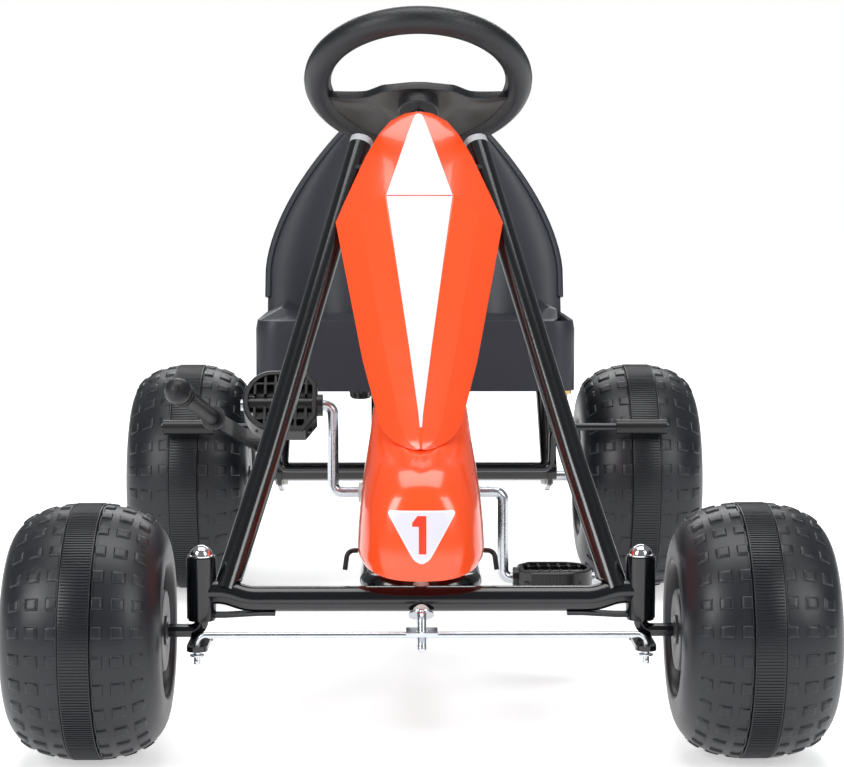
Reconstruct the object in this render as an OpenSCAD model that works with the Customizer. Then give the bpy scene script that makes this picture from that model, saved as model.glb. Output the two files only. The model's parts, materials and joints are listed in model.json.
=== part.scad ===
// Child's pedal go kart: tubular frame, chain drive, hook-and-tie-rod steering, bucket seat.
// Origin: middle of the footprint on the ground. The front faces -Y, +X is the driver's left, +Z is up.

/* [Chassis] */
// Distance between the front and rear axles
wheelbase = 760; // [640:10:900]
// Distance between the two kingpins
kingpin_span = 344; // [300:2:400]
// Height of the front beam's axis
beam_z = 125; // [118:1:140]
// Diameter of the front beam
beam_d = 20; // [16:1:24]
// Height of the main loop's axis
loop_z = 131; // [125:1:140]
// Diameter of the main loop's tube
loop_d = 18; // [14:1:20]
// Half distance between the main loop's two legs
loop_half = 40; // [34:1:46]
// Diameter of the rear cross tube
cross_d = 20; // [16:1:22]
// Height of the rear cross tube
cross_z = 136; // [130:1:140]
// Distance of the rear cross tube ahead of the rear axle
cross_ahead = 37; // [33:1:45]
// Half length of the rear cross tube
cross_half = 158; // [150:1:166]

/* [Front wheels] */
// Diameter over the tread
front_d = 200; // [190:1:206]
// Width over the lips
front_w = 122; // [100:1:130]
// Distance between the wheels' middles
front_track = 517; // [510:1:560]

/* [Rear wheels] */
// Diameter over the tread
rear_d = 252; // [240:1:262]
// Width over the lips
rear_w = 132; // [110:1:140]
// Distance between the wheels' middles
rear_track = 500; // [490:1:540]
// Diameter of the rear axle
axle_d = 12; // [10:1:14]

/* [Wheel shells] */
// Wall of the blow-moulded halves
wheel_wall = 3; // [2:0.5:4]
// Outer radius of the hub boss
boss_r = 12.5; // [11.5:0.5:15]
// Outer radius of the hub bush
hub_bush_r = 9; // [8:0.5:10]

/* [Steering] */
// Slope of the column above the ground
column_slope = 57.5; // [50:0.5:62]
// Distance from the beam's axis to the steering wheel's middle, along the column
column_reach = 494; // [440:1:540]
// Diameter of the column
column_d = 10; // [8:1:12]
// Diameter of the hook at the column's foot
hook_d = 7; // [6:0.5:8]
// Outer diameter of the steering wheel
steer_d = 203; // [180:1:220]
// Thickness of the steering wheel's rim
rim_d = 24; // [20:1:28]
// Diameter of the kingpins and stub axles
stub_d = 10.6; // [9:0.2:12]
// Outer diameter of the kingpin housings
housing_d = 23; // [21:1:26]
// Length of the kingpin housings
housing_len = 48; // [40:1:54]
// Length of the steering arms
arm_len = 40; // [36:1:46]
// Thickness of the steering arms
arm_t = 4; // [3:0.5:5]
// Diameter of the tie rod
tie_d = 5; // [4:0.5:6]
// Height of the tie rod's straight run
tie_z = 104; // [102:0.5:106]
// Diameter of the steering stays
stay_d = 20; // [16:1:22]

/* [Drive] */
// Distance of the crank behind the front axle
crank_back = 270; // [250:1:300]
// Height of the crank's axis
crank_z = 173; // [165:1:185]
// Diameter of the crank's rod
crank_d = 10; // [8:1:12]
// Length of each crank arm
crank_throw = 79; // [65:1:82]
// Half distance between the crank arms
crank_half = 77; // [70:1:84]
// Length of the pedal pads
pedal_len = 72; // [60:1:80]
// Depth of the pedal pads
pedal_depth = 62; // [50:1:70]
// Thickness of the pedal pads
pedal_t = 20; // [17:1:24]
// Teeth on the chainwheel
wheel_teeth = 24; // [20:1:26]
// Teeth on the axle's sprocket
sprocket_teeth = 11; // [10:1:12]
// Wall of the chain guard
guard_wall = 2; // [1.5:0.5:3]
// Inner half width of the chain guard
guard_half = 12; // [11:0.5:18]

/* [Seat] */
// Full width of the seat pan
seat_w = 334; // [300:1:350]
// Depth of the seat pan
seat_depth = 235; // [200:1:250]
// Height of the seat pan's top
seat_z = 310; // [296:1:325]
// Height of the backrest above the pan
back_h = 255; // [200:1:280]
// Wall of the seat shell
seat_wall = 5; // [3:0.5:7]
// Diameter of the seat hoop's tube
hoop_d = 18; // [14:1:20]
// Diameter of the seat's clamp knob
knob_d = 25; // [20:1:30]

/* [Brake] */
// Diameter of the brake yoke's rod
brake_rod_d = 8; // [7:0.5:9]
// Diameter of the brake sleeves
sleeve_d = 16; // [13:1:18]
// Length of the brake sleeves
sleeve_len = 54; // [40:1:60]
// Free gap between each sleeve and its tyre
brake_gap = 6; // [4:0.5:8]

/* [Hood] */
// Wall of the hood's two mouldings
hood_wall = 3; // [2:0.5:4]
// Half width of the hood at its side corners
hood_half = 71; // [60:1:76]

/* [Hidden] */
$fn = 48;

black_paint = [0.06, 0.06, 0.07];
black_plastic = [0.15, 0.15, 0.16];
charcoal = [0.23, 0.24, 0.28];
orange = [1.0, 0.32, 0.12];
zinc = [0.75, 0.77, 0.78];

running = 0.1; // radial clearance of everything that turns on a pin
clear = 0.4; // clearance between pieces that only pass each other
through = 1; // how far a cutter runs past the face that it opens
bend_step = 0.06; // a bend is this much thinner than its straights
bend_lap = 0.4; // and runs on into them by this much

front_r = front_d / 2;
rear_r = rear_d / 2;
front_y = -(wheelbase + front_r + rear_r) / 2 + front_r;
rear_y = front_y + wheelbase;
front_x = front_track / 2;
rear_x = rear_track / 2;
crank_y = front_y + crank_back;
cross_y = rear_y - cross_ahead;
kingpin_x = kingpin_span / 2;

channel_in = 10; // depth of the channel in a wheel's face
disc_in = 2.5; // how far the disc inside that channel lies within the lip
shaft_out = 2; // how far a shaft stands out of its wheel's hub
function hub_face(w) = w / 2 - disc_in;

// The points round an arc, in a plane
function arc(r, from, to, steps, at = [0, 0]) =
    [for (i = [0:steps]) let (a = from + (to - from) * i / steps) at + r * [cos(a), sin(a)]];
function unit(v) = v / norm(v);
// The frame whose Z is along w and whose X is along u, as a matrix at p
function basis(u, v, w, p) = [
    [u[0], v[0], w[0], p[0]], [u[1], v[1], w[1], p[1]], [u[2], v[2], w[2], p[2]], [0, 0, 0, 1]];

// A round rod from p to q
module rod(p, q, d) {
    w = unit(q - p);
    u = unit(cross(abs(w[2]) < 0.9 ? [0, 0, 1] : [1, 0, 0], w));
    multmatrix(basis(u, cross(w, u), w, p)) cylinder(d = d, h = norm(q - p));
}

// The angle by which a bend runs on into the straights beside it
function lap(bend) = bend_lap / bend * 180 / PI;

// A round rod through the points, with every corner bent to the same radius
module bent_rod(points, d, bend) {
    last = len(points) - 1;
    function turn(i) = acos(unit(points[i] - points[i - 1]) * unit(points[i + 1] - points[i]));
    function cut(i) = (i == 0 || i == last) ? 0 : bend * tan(turn(i) / 2);
    for (i = [0:last - 1]) {
        w = unit(points[i + 1] - points[i]);
        rod(points[i] + w * cut(i), points[i + 1] - w * cut(i + 1), d);
    }
    for (i = [1:last - 1]) {
        w = unit(points[i] - points[i - 1]);
        next = unit(points[i + 1] - points[i]);
        axis = unit(cross(w, next));
        inward = cross(axis, w);
        centre = points[i] - w * cut(i) + inward * bend;
        multmatrix(basis(-inward, w, axis, centre))
            rotate([0, 0, -lap(bend)]) rotate_extrude(angle = turn(i) + 2 * lap(bend))
                translate([bend, 0]) circle(d = d - bend_step);
    }
}

// A closed sheet between two equal grids of points, the front one seen anticlockwise from outside
module thick_sheet(front, back) {
    rows = len(front);
    cols = len(front[0]);
    count = rows * cols;
    function at(r, c) = r * cols + c;
    function quad(a, b, c, d) = [[a, b, c], [a, c, d]];
    faces = [
        for (r = [0:rows - 2]) for (c = [0:cols - 2]) each concat(
            quad(at(r, c), at(r + 1, c), at(r + 1, c + 1), at(r, c + 1)),
            quad(count + at(r, c), count + at(r, c + 1), count + at(r + 1, c + 1), count + at(r + 1, c))),
        for (c = [0:cols - 2]) each concat(
            quad(at(0, c), at(0, c + 1), count + at(0, c + 1), count + at(0, c)),
            quad(at(rows - 1, c + 1), at(rows - 1, c), count + at(rows - 1, c), count + at(rows - 1, c + 1))),
        for (r = [0:rows - 2]) each concat(
            quad(at(r + 1, 0), at(r, 0), count + at(r, 0), count + at(r + 1, 0)),
            quad(at(r, cols - 1), at(r + 1, cols - 1), count + at(r + 1, cols - 1), count + at(r, cols - 1)))];
    polyhedron(points = [for (row = front) each row, for (row = back) each row], faces = faces);
}

// --- Frame -----------------------------------------------------------------------------------------

beam_end_rise = 6; // how far the beam's ends lift to meet the housings
beam_bend = 40;
beam_straight = kingpin_x - 36;
beam_end_len = 18;
housing_top = 158;
housing_z = housing_top - housing_len;
housing_bore = 17;
beam_ends = [[kingpin_x - beam_end_len, front_y, beam_z + beam_end_rise],
    [kingpin_x, front_y, beam_z + beam_end_rise]];

module housing_space() {
    for (side = [-1, 1]) translate([side * kingpin_x, front_y, housing_z - through])
        cylinder(d = housing_d, h = housing_len + 2 * through);
}

module front_beam() color(black_paint) difference() {
    bent_rod([[-beam_ends[1][0], front_y, beam_ends[1][2]], [-beam_ends[0][0], front_y, beam_ends[0][2]],
        [-beam_straight, front_y, beam_z], [beam_straight, front_y, beam_z], beam_ends[0], beam_ends[1]],
        beam_d, beam_bend);
    housing_space();
    column_frame() translate([0, 0, -beam_d])
        cylinder(r = column_bush_r, h = 2 * beam_d);
}

module kingpin_housings() color(black_paint)
    for (side = [-1, 1]) translate([side * kingpin_x, front_y, housing_z]) difference() {
        cylinder(d = housing_d, h = housing_len);
        translate([0, 0, -through]) cylinder(d = housing_bore, h = housing_len + 2 * through);
    }

// A flat strip under each end of the beam, from the housing's foot to the beam's underside
gusset_t = 3;
gusset_w = 12;
gusset_bend = 8; // from the housing to the strip's lower bend
gusset_meets = 46; // from the kingpin to where the strip meets the beam
gusset_end = 58;
gusset_weld = 0.5; // how far the strip sinks into what it is welded to
module beam_gussets() color(black_paint) difference() {
    top = beam_z - beam_d / 2 + gusset_weld;
    foot = housing_z + 1;
    wall = -housing_d / 2 + 2 * gusset_weld;
    for (side = [-1, 1]) translate([side * kingpin_x, front_y, 0]) rotate([90, 0, 0]) scale([side, 1, 1])
        translate([0, 0, -gusset_w / 2]) linear_extrude(gusset_w) polygon([
            [wall, foot], [-housing_d / 2 - gusset_bend, foot],
            [-gusset_meets, top - gusset_t], [-gusset_end, top - gusset_t],
            [-gusset_end, top], [-gusset_meets, top],
            [-housing_d / 2 - gusset_bend, foot + gusset_t], [wall, foot + gusset_t]]);
    housing_space();
    rod([-beam_straight, front_y, beam_z], [beam_straight, front_y, beam_z], beam_d);
}

// The two stays rise beside the column, in a plane just ahead of it
stay_f = 5;
stay_foot = [kingpin_x - 19, 4]; // out from the middle, up the column
stay_knee = [kingpin_x - 48, 116];
stay_top = [51, 422];
stay_bend = 90;
plug_len = 6;
column_bush_wall = 1.5;
column_bush_r = column_d / 2 + running + column_bush_wall;

// Places children in the column's frame: +Z up the column, -Y ahead of it
module column_frame() translate([0, front_y, beam_z]) rotate([column_slope - 90, 0, 0]) children();

function stay_point(p) = [p[0], -stay_f, p[1]];
module steering_stay() difference() {
    column_frame() bent_rod([stay_point(stay_foot), stay_point(stay_knee), stay_point(stay_top)],
        stay_d, stay_bend);
    housing_space();
    rod([beam_straight - beam_d, front_y, beam_z], [kingpin_x, front_y, beam_z], beam_d);
    rod(beam_ends[0] - [beam_d, 0, 0], beam_ends[1], beam_d);
}
module steering_stay_left() color(black_paint) steering_stay();
module steering_stay_right() color(black_paint) mirror([1, 0, 0]) steering_stay();

stay_dir = unit(stay_point(stay_top) - stay_point(stay_knee));
module stay_plugs() color([0.7, 0.7, 0.72]) column_frame() for (side = [0, 1]) mirror([side, 0, 0])
    rod(stay_point(stay_top), stay_point(stay_top) + plug_len * stay_dir, stay_d);

// A plate between the stays carries the column's upper bearing
bracket_at = 392;
bracket_t = 4;
bracket_front = stay_f + stay_d / 2 - clear;
bracket_back = 10;
bracket_over = 8; // how far the plate runs past the stays' axes
collar_len = 12; // the collar stands this far above and below the plate
collar_wall = 4;
module column_bracket() color(black_paint) column_frame() difference() {
    union() {
        translate([-stay_top[0] - bracket_over, -bracket_front, bracket_at])
            cube([2 * (stay_top[0] + bracket_over), bracket_front + bracket_back, bracket_t]);
        translate([0, 0, bracket_at - collar_len])
            cylinder(r = column_bush_r + collar_wall, h = 2 * collar_len + bracket_t);
    }
    translate([0, 0, bracket_at - collar_len - through])
        cylinder(r = column_bush_r, h = 2 * (collar_len + through) + bracket_t);
    for (side = [0, 1]) mirror([side, 0, 0])
        rod(stay_point(stay_knee), stay_point(stay_top) + plug_len * stay_dir, stay_d);
}

// A hairpin of tube from the beam to the rear cross tube
loop_bend = 28;
loop_front_y = front_y + sqrt(pow((beam_d + loop_d) / 2, 2) - pow(loop_z - beam_z, 2));
module rear_cross_space() rod([-cross_half, cross_y, cross_z], [cross_half, cross_y, cross_z], cross_d);
module main_loop() color(black_paint) difference() {
    bent_rod([[-loop_half, cross_y, loop_z], [-loop_half, loop_front_y, loop_z],
        [loop_half, loop_front_y, loop_z], [loop_half, cross_y, loop_z]], loop_d, loop_bend);
    rear_cross_space();
    column_frame() translate([0, 0, -beam_d]) cylinder(r = column_bush_r + clear, h = 4 * beam_d);
}

module rear_cross_tube() color(black_paint) rear_cross_space();

plate_t = 5;
plate_x = 150;
plate_r = 17;
bush_wall = 4;
bush_r = axle_d / 2 + bush_wall;
module rear_bearing_plates() color(black_paint) for (side = [-1, 1])
    translate([side * plate_x, 0, 0]) rotate([90, 0, 90]) difference() {
        translate([0, 0, -plate_t / 2]) linear_extrude(plate_t) union() {
            translate([rear_y, rear_r]) circle(plate_r);
            translate([cross_y, cross_z]) circle(plate_r);
            polygon([[rear_y, rear_r - plate_r], [rear_y, rear_r + plate_r],
                [cross_y, cross_z + plate_r], [cross_y, cross_z - plate_r]]);
        }
        translate([cross_y, cross_z, -plate_t]) cylinder(d = cross_d, h = 2 * plate_t);
        translate([rear_y, rear_r, -plate_t]) cylinder(r = bush_r, h = 2 * plate_t);
    }

// Plastic bushes: kingpins, column, crank and rear axle
bush_len = 14;
bush_out = 2; // how far the column's lower bush stands out of the beam
crank_bush_r = crank_d / 2 + bush_wall;
module bush(r, bore_r, len) difference() {
    cylinder(r = r, h = len);
    translate([0, 0, -through]) cylinder(r = bore_r, h = len + 2 * through);
}
module bearing_bushes() color([0.85, 0.85, 0.83]) {
    for (side = [-1, 1]) {
        translate([side * kingpin_x, front_y, housing_z])
            bush(housing_bore / 2, stub_d / 2 + running, housing_len);
        translate([side * plate_x - bush_len / 2, rear_y, rear_r]) rotate([0, 90, 0])
            bush(bush_r, axle_d / 2 + running, bush_len);
        translate([side * cheek_x - bush_len / 2, crank_y, crank_z]) rotate([0, 90, 0])
            bush(crank_bush_r, crank_d / 2 + running, bush_len);
    }
    column_frame() translate([0, 0, -beam_d / 2 - bush_out])
        bush(column_bush_r, column_d / 2 + running, beam_d + 2 * bush_out);
    column_frame() translate([0, 0, bracket_at - collar_len])
        bush(column_bush_r, column_d / 2 + running, 2 * collar_len + bracket_t);
}

// Upright cheeks on the main loop carry the crank
cheek_x = loop_half + 7;
cheek_t = 5;
cheek_w = 34;
module loop_leg_space() for (side = [-1, 1])
    rod([side * loop_half, loop_front_y + loop_bend, loop_z], [side * loop_half, cross_y, loop_z], loop_d);
module crank_brackets() color(black_paint) difference() {
    for (side = [-1, 1]) translate([side * cheek_x, 0, 0]) rotate([90, 0, 90])
        translate([0, 0, -cheek_t / 2]) linear_extrude(cheek_t) union() {
            translate([crank_y, crank_z]) circle(d = cheek_w);
            translate([crank_y - cheek_w / 2, loop_z]) square([cheek_w, crank_z - loop_z]);
        }
    loop_leg_space();
    rod([-cheek_x - cheek_t, crank_y, crank_z], [cheek_x + cheek_t, crank_y, crank_z], 2 * crank_bush_r);
}

// --- Seat frame ------------------------------------------------------------------------------------

seat_front = rear_y - 162;
rail_x = 59;
rail_z = 262;
rail_t = 3;
rail_w = 26;
rail_len = 160;
rail_from = seat_front + 38; // leaves the seat room to slide back over the rails
hoop_bend = 34;
hoop_half = plate_x;
hoop_top = rail_z - hoop_d / 2;
slot_w = 8;
slide = 25; // how far the seat slides back
knob_y = rail_from + 12;
stay_y = seat_front + 90;
hoop_rake = 8; // how far each leg of the hoop leans in
stay_strip_w = 20;

module seat_hoop() color(black_paint) difference() {
    bent_rod([[-hoop_half, cross_y, cross_z], [-hoop_half + hoop_rake, cross_y, hoop_top],
        [hoop_half - hoop_rake, cross_y, hoop_top], [hoop_half, cross_y, cross_z]], hoop_d, hoop_bend);
    rear_cross_space();
    for (side = [-1, 1]) translate([side * plate_x, cross_y, cross_z]) rotate([0, 90, 0])
        cylinder(r = plate_r + running, h = plate_t + 2 * running, center = true);
}

front_stay_d = 16;
front_stay_bend = 20;
module seat_front_stay() color(black_paint) difference() {
    bent_rod([[-loop_half, stay_y, loop_z], [-loop_half, stay_y, rail_z - front_stay_d / 2],
        [loop_half, stay_y, rail_z - front_stay_d / 2], [loop_half, stay_y, loop_z]],
        front_stay_d, front_stay_bend);
    loop_leg_space();
}

module seat_rails() color(black_paint) {
    for (side = [-1, 1]) difference() {
        translate([side * rail_x - rail_w / 2, rail_from, rail_z]) cube([rail_w, rail_len, rail_t]);
        if (side == -1) {
            translate([-rail_x - slot_w / 2, knob_y, rail_z - through])
                cube([slot_w, slide, rail_t + 2 * through]);
            for (end = [0, 1]) translate([-rail_x, knob_y + end * slide, rail_z - through])
                cylinder(d = slot_w, h = rail_t + 2 * through);
        }
    }
    translate([rail_w / 2 - rail_x, stay_y - stay_strip_w / 2, rail_z])
        cube([2 * rail_x - rail_w, stay_strip_w, rail_t]);
}

// --- Hood ------------------------------------------------------------------------------------------

// Upper moulding in the column's frame: rows run up the column, each [height, half width of the flat
// middle, how far the middle stands ahead, half width of the rim, how far the rim stands ahead]
rim_f = stay_f + stay_d / 2 + 0.5;
shoulder = 335;
shoulder_lift = 14; // the flat's widest point lies this far above the side corners
skin_bulge = 0.62; // how far each side swells towards the flat's level
hood_rows = [
    [110, 1, 45, 8, 42], [117, 1, 46, 20, 38], [127, 1.5, 46, 27.5, 33], [139, 2.5, 46, 33, 28],
    [200, 9.7, 44, 47, 22], [shoulder, 29, 39, hood_half, rim_f + hood_wall],
    [352, 27.5, 38, hood_half - 6, rim_f + hood_wall], [402, 15, 29, 46, rim_f + hood_wall],
    [426, 9, 24, 34.5, rim_f + 2], [440, 5, 20.5, 25, rim_f + 1], [449, 2, 18, 12, rim_f]];
function hood_skin(row, out) = [
    [-row[3], -(row[4] + out), row[0]],
    [-(row[1] + row[3]) / 2, -(side_f(row) + out), row[0]],
    [-row[1], -(row[2] + out), row[0] + row_lift(row)],
    [row[1], -(row[2] + out), row[0] + row_lift(row)],
    [(row[1] + row[3]) / 2, -(side_f(row) + out), row[0]],
    [row[3], -(row[4] + out), row[0]]];
function row_lift(row) = row[0] == shoulder ? shoulder_lift : 0;
function side_f(row) = row[4] + (row[2] - row[4]) * skin_bulge;
module hood_upper() color(orange) column_frame() thick_sheet(
    [for (row = hood_rows) hood_skin(row, 0)],
    [for (row = hood_rows) hood_skin(row, -hood_wall)]);

// Lower moulding: a bulged nose over the beam, rows [height, y of the nose, half width, y of the rim]
nose_rows = [
    [144, -32, 46, 40], [152, -34, 50, 48], [175, -33, 50, 54], [200, -28, 48, 62], [215, -20, 46, 66],
    [228, -3, 44, 71], [234, 15, 43, 74], [240, 29, 42.5, 76], [246, 34, 41, 79], [258, 43, 39.5, 83],
    [268, 52, 38, 87]];
nose_steps = 10;
side_power = 0.75; // lower is squarer: the section turns elliptical over these heights
front_power = 0.55;
round_from = 200;
round_to = 240;
skirt = 160; // below this height the edge lifts at the sides
skirt_lift = 8;
function nose_point(row, i, wall) = let (a = 180 * i / nose_steps, half = row[2] - wall,
    nose = row[1] + wall, rim = row[3])
    [-half * sign(cos(a)) * pow(abs(cos(a)), rounder(row, side_power)),
        front_y + rim + (nose - rim) * pow(sin(a), rounder(row, front_power)),
        row[0] + edge_lift(row) * abs(cos(a))];
function rounder(row, power) =
    power + (1 - power) * min(1, max(0, (row[0] - round_from) / (round_to - round_from)));
function edge_lift(row) = row[0] < skirt ? skirt_lift : 0;
module hood_lower() color(orange) thick_sheet(
    [for (row = nose_rows) [for (i = [0:nose_steps]) nose_point(row, i, 0)]],
    [for (row = nose_rows) [for (i = [0:nose_steps]) nose_point(row, i, hood_wall)]]);

sticker_t = 0.4;
sticker_edge = 0.8; // bare hood between the sticker and the flat's corner
stripe_rows = [for (i = [2:len(hood_rows) - 2]) hood_rows[i]];
module hood_stripe() color("white") column_frame() thick_sheet(
    [for (row = stripe_rows) stripe_row(row, sticker_t)], [for (row = stripe_rows) stripe_row(row, 0)]);
function stripe_row(row, out) = let (half = row[1] - sticker_edge) [
    [-half, -(row[2] + out), row[0] + row_lift(row)], [half, -(row[2] + out), row[0] + row_lift(row)]];

label_z = [158, 198];
label_half = 27;
label_corner = [3, 4];
module number_label() color("white") intersection() {
    thick_sheet(
        [for (row = nose_rows) [for (i = [0:nose_steps]) nose_point(row, i, -sticker_t)]],
        [for (row = nose_rows) [for (i = [0:nose_steps]) nose_point(row, i, 0)]]);
    translate([0, front_y, 0]) rotate([90, 0, 0]) linear_extrude(front_r) polygon([
        [0, label_z[0]], [label_half, label_z[1] - label_corner[1]],
        [label_half - label_corner[0], label_z[1]], [-label_half + label_corner[0], label_z[1]],
        [-label_half, label_z[1] - label_corner[1]]]);
}

clip_d = 4;
clip_root = nose_rows[1][2] + clear; // the hook starts on the nose's side
clip_out = 8;
clip_drop = 15;
module hood_clips() color(black_plastic) for (side = [-1, 1]) translate([0, front_y, skirt - clip_d / 2])
    scale([side, 1, 1]) bent_rod([[clip_root, 32, 0], [clip_root + clip_out, 30, 0],
        [clip_root + clip_out + 2, 28, -clip_drop]], clip_d, 1.5 * clip_d);

// --- Drive -----------------------------------------------------------------------------------------

chain_pitch = 12.7;
wheel_pitch_r = chain_pitch / 2 / sin(180 / wheel_teeth);
sprocket_pitch_r = chain_pitch / 2 / sin(180 / sprocket_teeth);
tooth_t = 2.2;
plate_gap = tooth_t / 2 + 0.8;
link_t = 1.2;
link_half = 5;
tooth_up = 3.6; // tips and roots, from the pitch circle
tooth_down = 3.8;
tip_share = 0.1; // half a tip, and where the root starts, over the pitch
root_share = 0.3;
crank_at = [crank_y, crank_z];
axle_at = [rear_y, rear_r];

// Outline of a belt round the crank and the axle, at radii r1 and r2
function belt(r1, r2) = let (v = axle_at - crank_at, run = atan2(v[1], v[0]),
    lean = acos((r1 - r2) / norm(v)))
    concat(arc(r1, run + lean, run + 360 - lean, 40, crank_at), arc(r2, run - lean, run + lean, 24, axle_at));

module side_plate(from, to) rotate([90, 0, 90]) translate([0, 0, from]) linear_extrude(to - from)
    children();

module toothed(teeth, pitch_r, bore_d) rotate([90, 0, 90]) difference() {
    translate([0, 0, -tooth_t / 2]) linear_extrude(tooth_t) polygon([
        for (i = [0:teeth - 1]) let (a = 360 * i / teeth, tip = tip_share * 360 / teeth,
            root = root_share * 360 / teeth, next = a + 360 / teeth) each [
            (pitch_r + tooth_up) * [cos(a - tip), sin(a - tip)],
            (pitch_r + tooth_up) * [cos(a + tip), sin(a + tip)],
            (pitch_r - tooth_down) * [cos(a + root), sin(a + root)],
            (pitch_r - tooth_down) * [cos(next - root), sin(next - root)]]]);
    translate([0, 0, -tooth_t]) cylinder(d = bore_d, h = 2 * tooth_t);
}

module chain() color([0.35, 0.34, 0.32]) for (side = [0, 1]) mirror([side, 0, 0])
    side_plate(plate_gap, plate_gap + link_t) difference() {
        polygon(belt(wheel_pitch_r + link_half, sprocket_pitch_r + link_half));
        polygon(belt(wheel_pitch_r - link_half, sprocket_pitch_r - link_half));
    }

guard_space = 9;
guard_hole = 4;
guard_tabs = [150, 320]; // lugs to the main loop, behind the crank
tab_w = 14;
tab_h = 12;
module chain_guard_half() difference() {
    union() {
        side_plate(0, guard_half + guard_wall)
            polygon(belt(wheel_pitch_r + guard_space + guard_wall, sprocket_pitch_r + guard_space + guard_wall));
        for (y = guard_tabs) translate([guard_half, crank_y + y, loop_z - tab_h / 2])
            cube([loop_half - guard_half, tab_w, tab_h]);
    }
    side_plate(-through, guard_half)
        polygon(belt(wheel_pitch_r + guard_space, sprocket_pitch_r + guard_space));
    for (hole = [[crank_at, crank_d], [axle_at, axle_d], [brake_pivot, brake_rod_d]])
        rod([-through, hole[0][0], hole[0][1]], [loop_half, hole[0][0], hole[0][1]], hole[1] + 2 * guard_hole);
    loop_leg_space();
    rear_cross_space();
}
module chain_guard_left() color(black_plastic) chain_guard_half();
module chain_guard_right() color(black_plastic) mirror([1, 0, 0]) chain_guard_half();

crank_bend = 8;
pedal_from = crank_half + crank_bend + 1;
pin_out = 2; // how far the pin stands out of its pedal
pin_end = pedal_from + pedal_len + pin_out;
module crank() color(zinc) bent_rod([[-pin_end, crank_y, crank_z + crank_throw],
    [-crank_half, crank_y, crank_z + crank_throw], [-crank_half, crank_y, crank_z],
    [crank_half, crank_y, crank_z], [crank_half, crank_y, crank_z - crank_throw],
    [pin_end, crank_y, crank_z - crank_throw]], crank_d, crank_bend);

hub_len = 14;
hub_wall = 4.5;
module chainwheel() color(zinc) translate([0, crank_y, crank_z]) union() {
    toothed(wheel_teeth, wheel_pitch_r, crank_d);
    rotate([0, 90, 0]) translate([0, 0, -hub_len / 2]) bush(crank_d / 2 + hub_wall, crank_d / 2, hub_len);
}
module rear_sprocket() color(zinc) translate([0, rear_y, rear_r]) union() {
    toothed(sprocket_teeth, sprocket_pitch_r, axle_d);
    rotate([0, 90, 0]) translate([0, 0, -hub_len / 2]) bush(axle_d / 2 + hub_wall, axle_d / 2, hub_len);
}

axle_half = rear_x + hub_face(rear_w) + shaft_out;
module rear_axle() color(zinc)
    rod([-axle_half, rear_y, rear_r], [axle_half, rear_y, rear_r], axle_d);

// A pad with a square inner end and a round outer end, which turns on the crank's pin
pedal_rest_tilt = 55;
pedal_collar = 5; // length and wall of the collar at the inner end
pedal_corner = [10, 14];
pedal_round = 26;
module pedal() difference() {
    round_x = pedal_len - pedal_collar - pedal_round;
    half = pedal_depth / 2;
    union() {
        translate([pedal_from + pedal_collar, 0, -pedal_t / 2]) linear_extrude(pedal_t) polygon(concat(
            [[0, half - pedal_corner[1]], [0, -half + pedal_corner[1]], [pedal_corner[0], -half]],
            [for (p = arc(1, -90, 90, 14)) [round_x + pedal_round * p[0], half * p[1]]],
            [[pedal_corner[0], half]]));
        rod([pedal_from, 0, 0], [pedal_from + pedal_collar + 1, 0, 0], crank_d + 2 * pedal_collar);
    }
    rod([pedal_from - through, 0, 0], [pin_end + pin_out, 0, 0], crank_d + 2 * running);
}
module pedal_left() color(black_plastic)
    translate([0, crank_y, crank_z - crank_throw]) pedal();
module pedal_right() color(black_plastic)
    translate([0, crank_y, crank_z + crank_throw]) rotate([pedal_rest_tilt, 0, 0]) mirror([1, 0, 0]) pedal();

// --- Steering --------------------------------------------------------------------------------------

hook_t = -24;
tie_y = front_y - arm_len;
hook_ahead = 12; // the hook passes this far ahead of the tie rod
hook_rel = [tie_y - hook_ahead - front_y, tie_z - beam_z];
hook_f = -hook_rel[0] * sin(column_slope) + hook_rel[1] * cos(column_slope);
hook_end = -54;
hook_bend = 7;
collar_d = 20; // the collar that holds the column up under the beam
collar_t = 1.5;
hub_r = 18;
hub_deep = 34;
column_stop = 13; // how far the column ends below the wheel's plane
boss_top = 10; // the hub closes over the column's end this far below the wheel's plane
boss_wall = 5;
dish_r = 30; // flat middle of the dished plate in the wheel's lower half
dish_t = 8;
dish_deep = 16; // depth of the dish's middle below the wheel's plane
plate_edge = [[76, 12.5], [46, 0], [30, -15], [12, -19]]; // the plate's upper edge, from the rim inwards
pad_r = 34;
pad_drop = 38; // the pad's middle lies this far below the wheel's middle
pad_top = 3;
steer_r = (steer_d - rim_d) / 2;
collar_at = -beam_d / 2 - bush_out - 2 * clear;
module steering_column() color(zinc) column_frame() union() {
    bent_rod([[0, 0, column_reach - column_stop], [0, 0, hook_t], [0, -hook_f, hook_t], [0, -hook_f, hook_end]],
        hook_d, hook_bend);
    translate([0, 0, collar_at]) cylinder(d = column_d, h = column_reach - column_stop - collar_at);
    translate([0, 0, collar_at - collar_t]) cylinder(d = collar_d, h = collar_t);
    translate([0, -hook_f, hook_end]) sphere(d = hook_d);
}

// A dished disc, this thick; its top meets the rim's middle
module dish(down) {
    function line(t) = [[0, t - dish_deep], [dish_r, t - dish_deep], [steer_r, t]];
    rotate_extrude() polygon(concat(line(0), [for (i = [2:-1:0]) line(-down)[i]]));
}
module lower_half() {
    rim_y = plate_edge[0][1];
    polygon(concat([[-steer_r, steer_r], [-steer_r, rim_y]], [for (p = plate_edge) [-p[0], p[1]]],
        [for (i = [len(plate_edge) - 1:-1:0]) plate_edge[i]], [[steer_r, rim_y], [steer_r, steer_r]]));
}
module at_wheel() column_frame() translate([0, 0, column_reach]) children();

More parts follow.
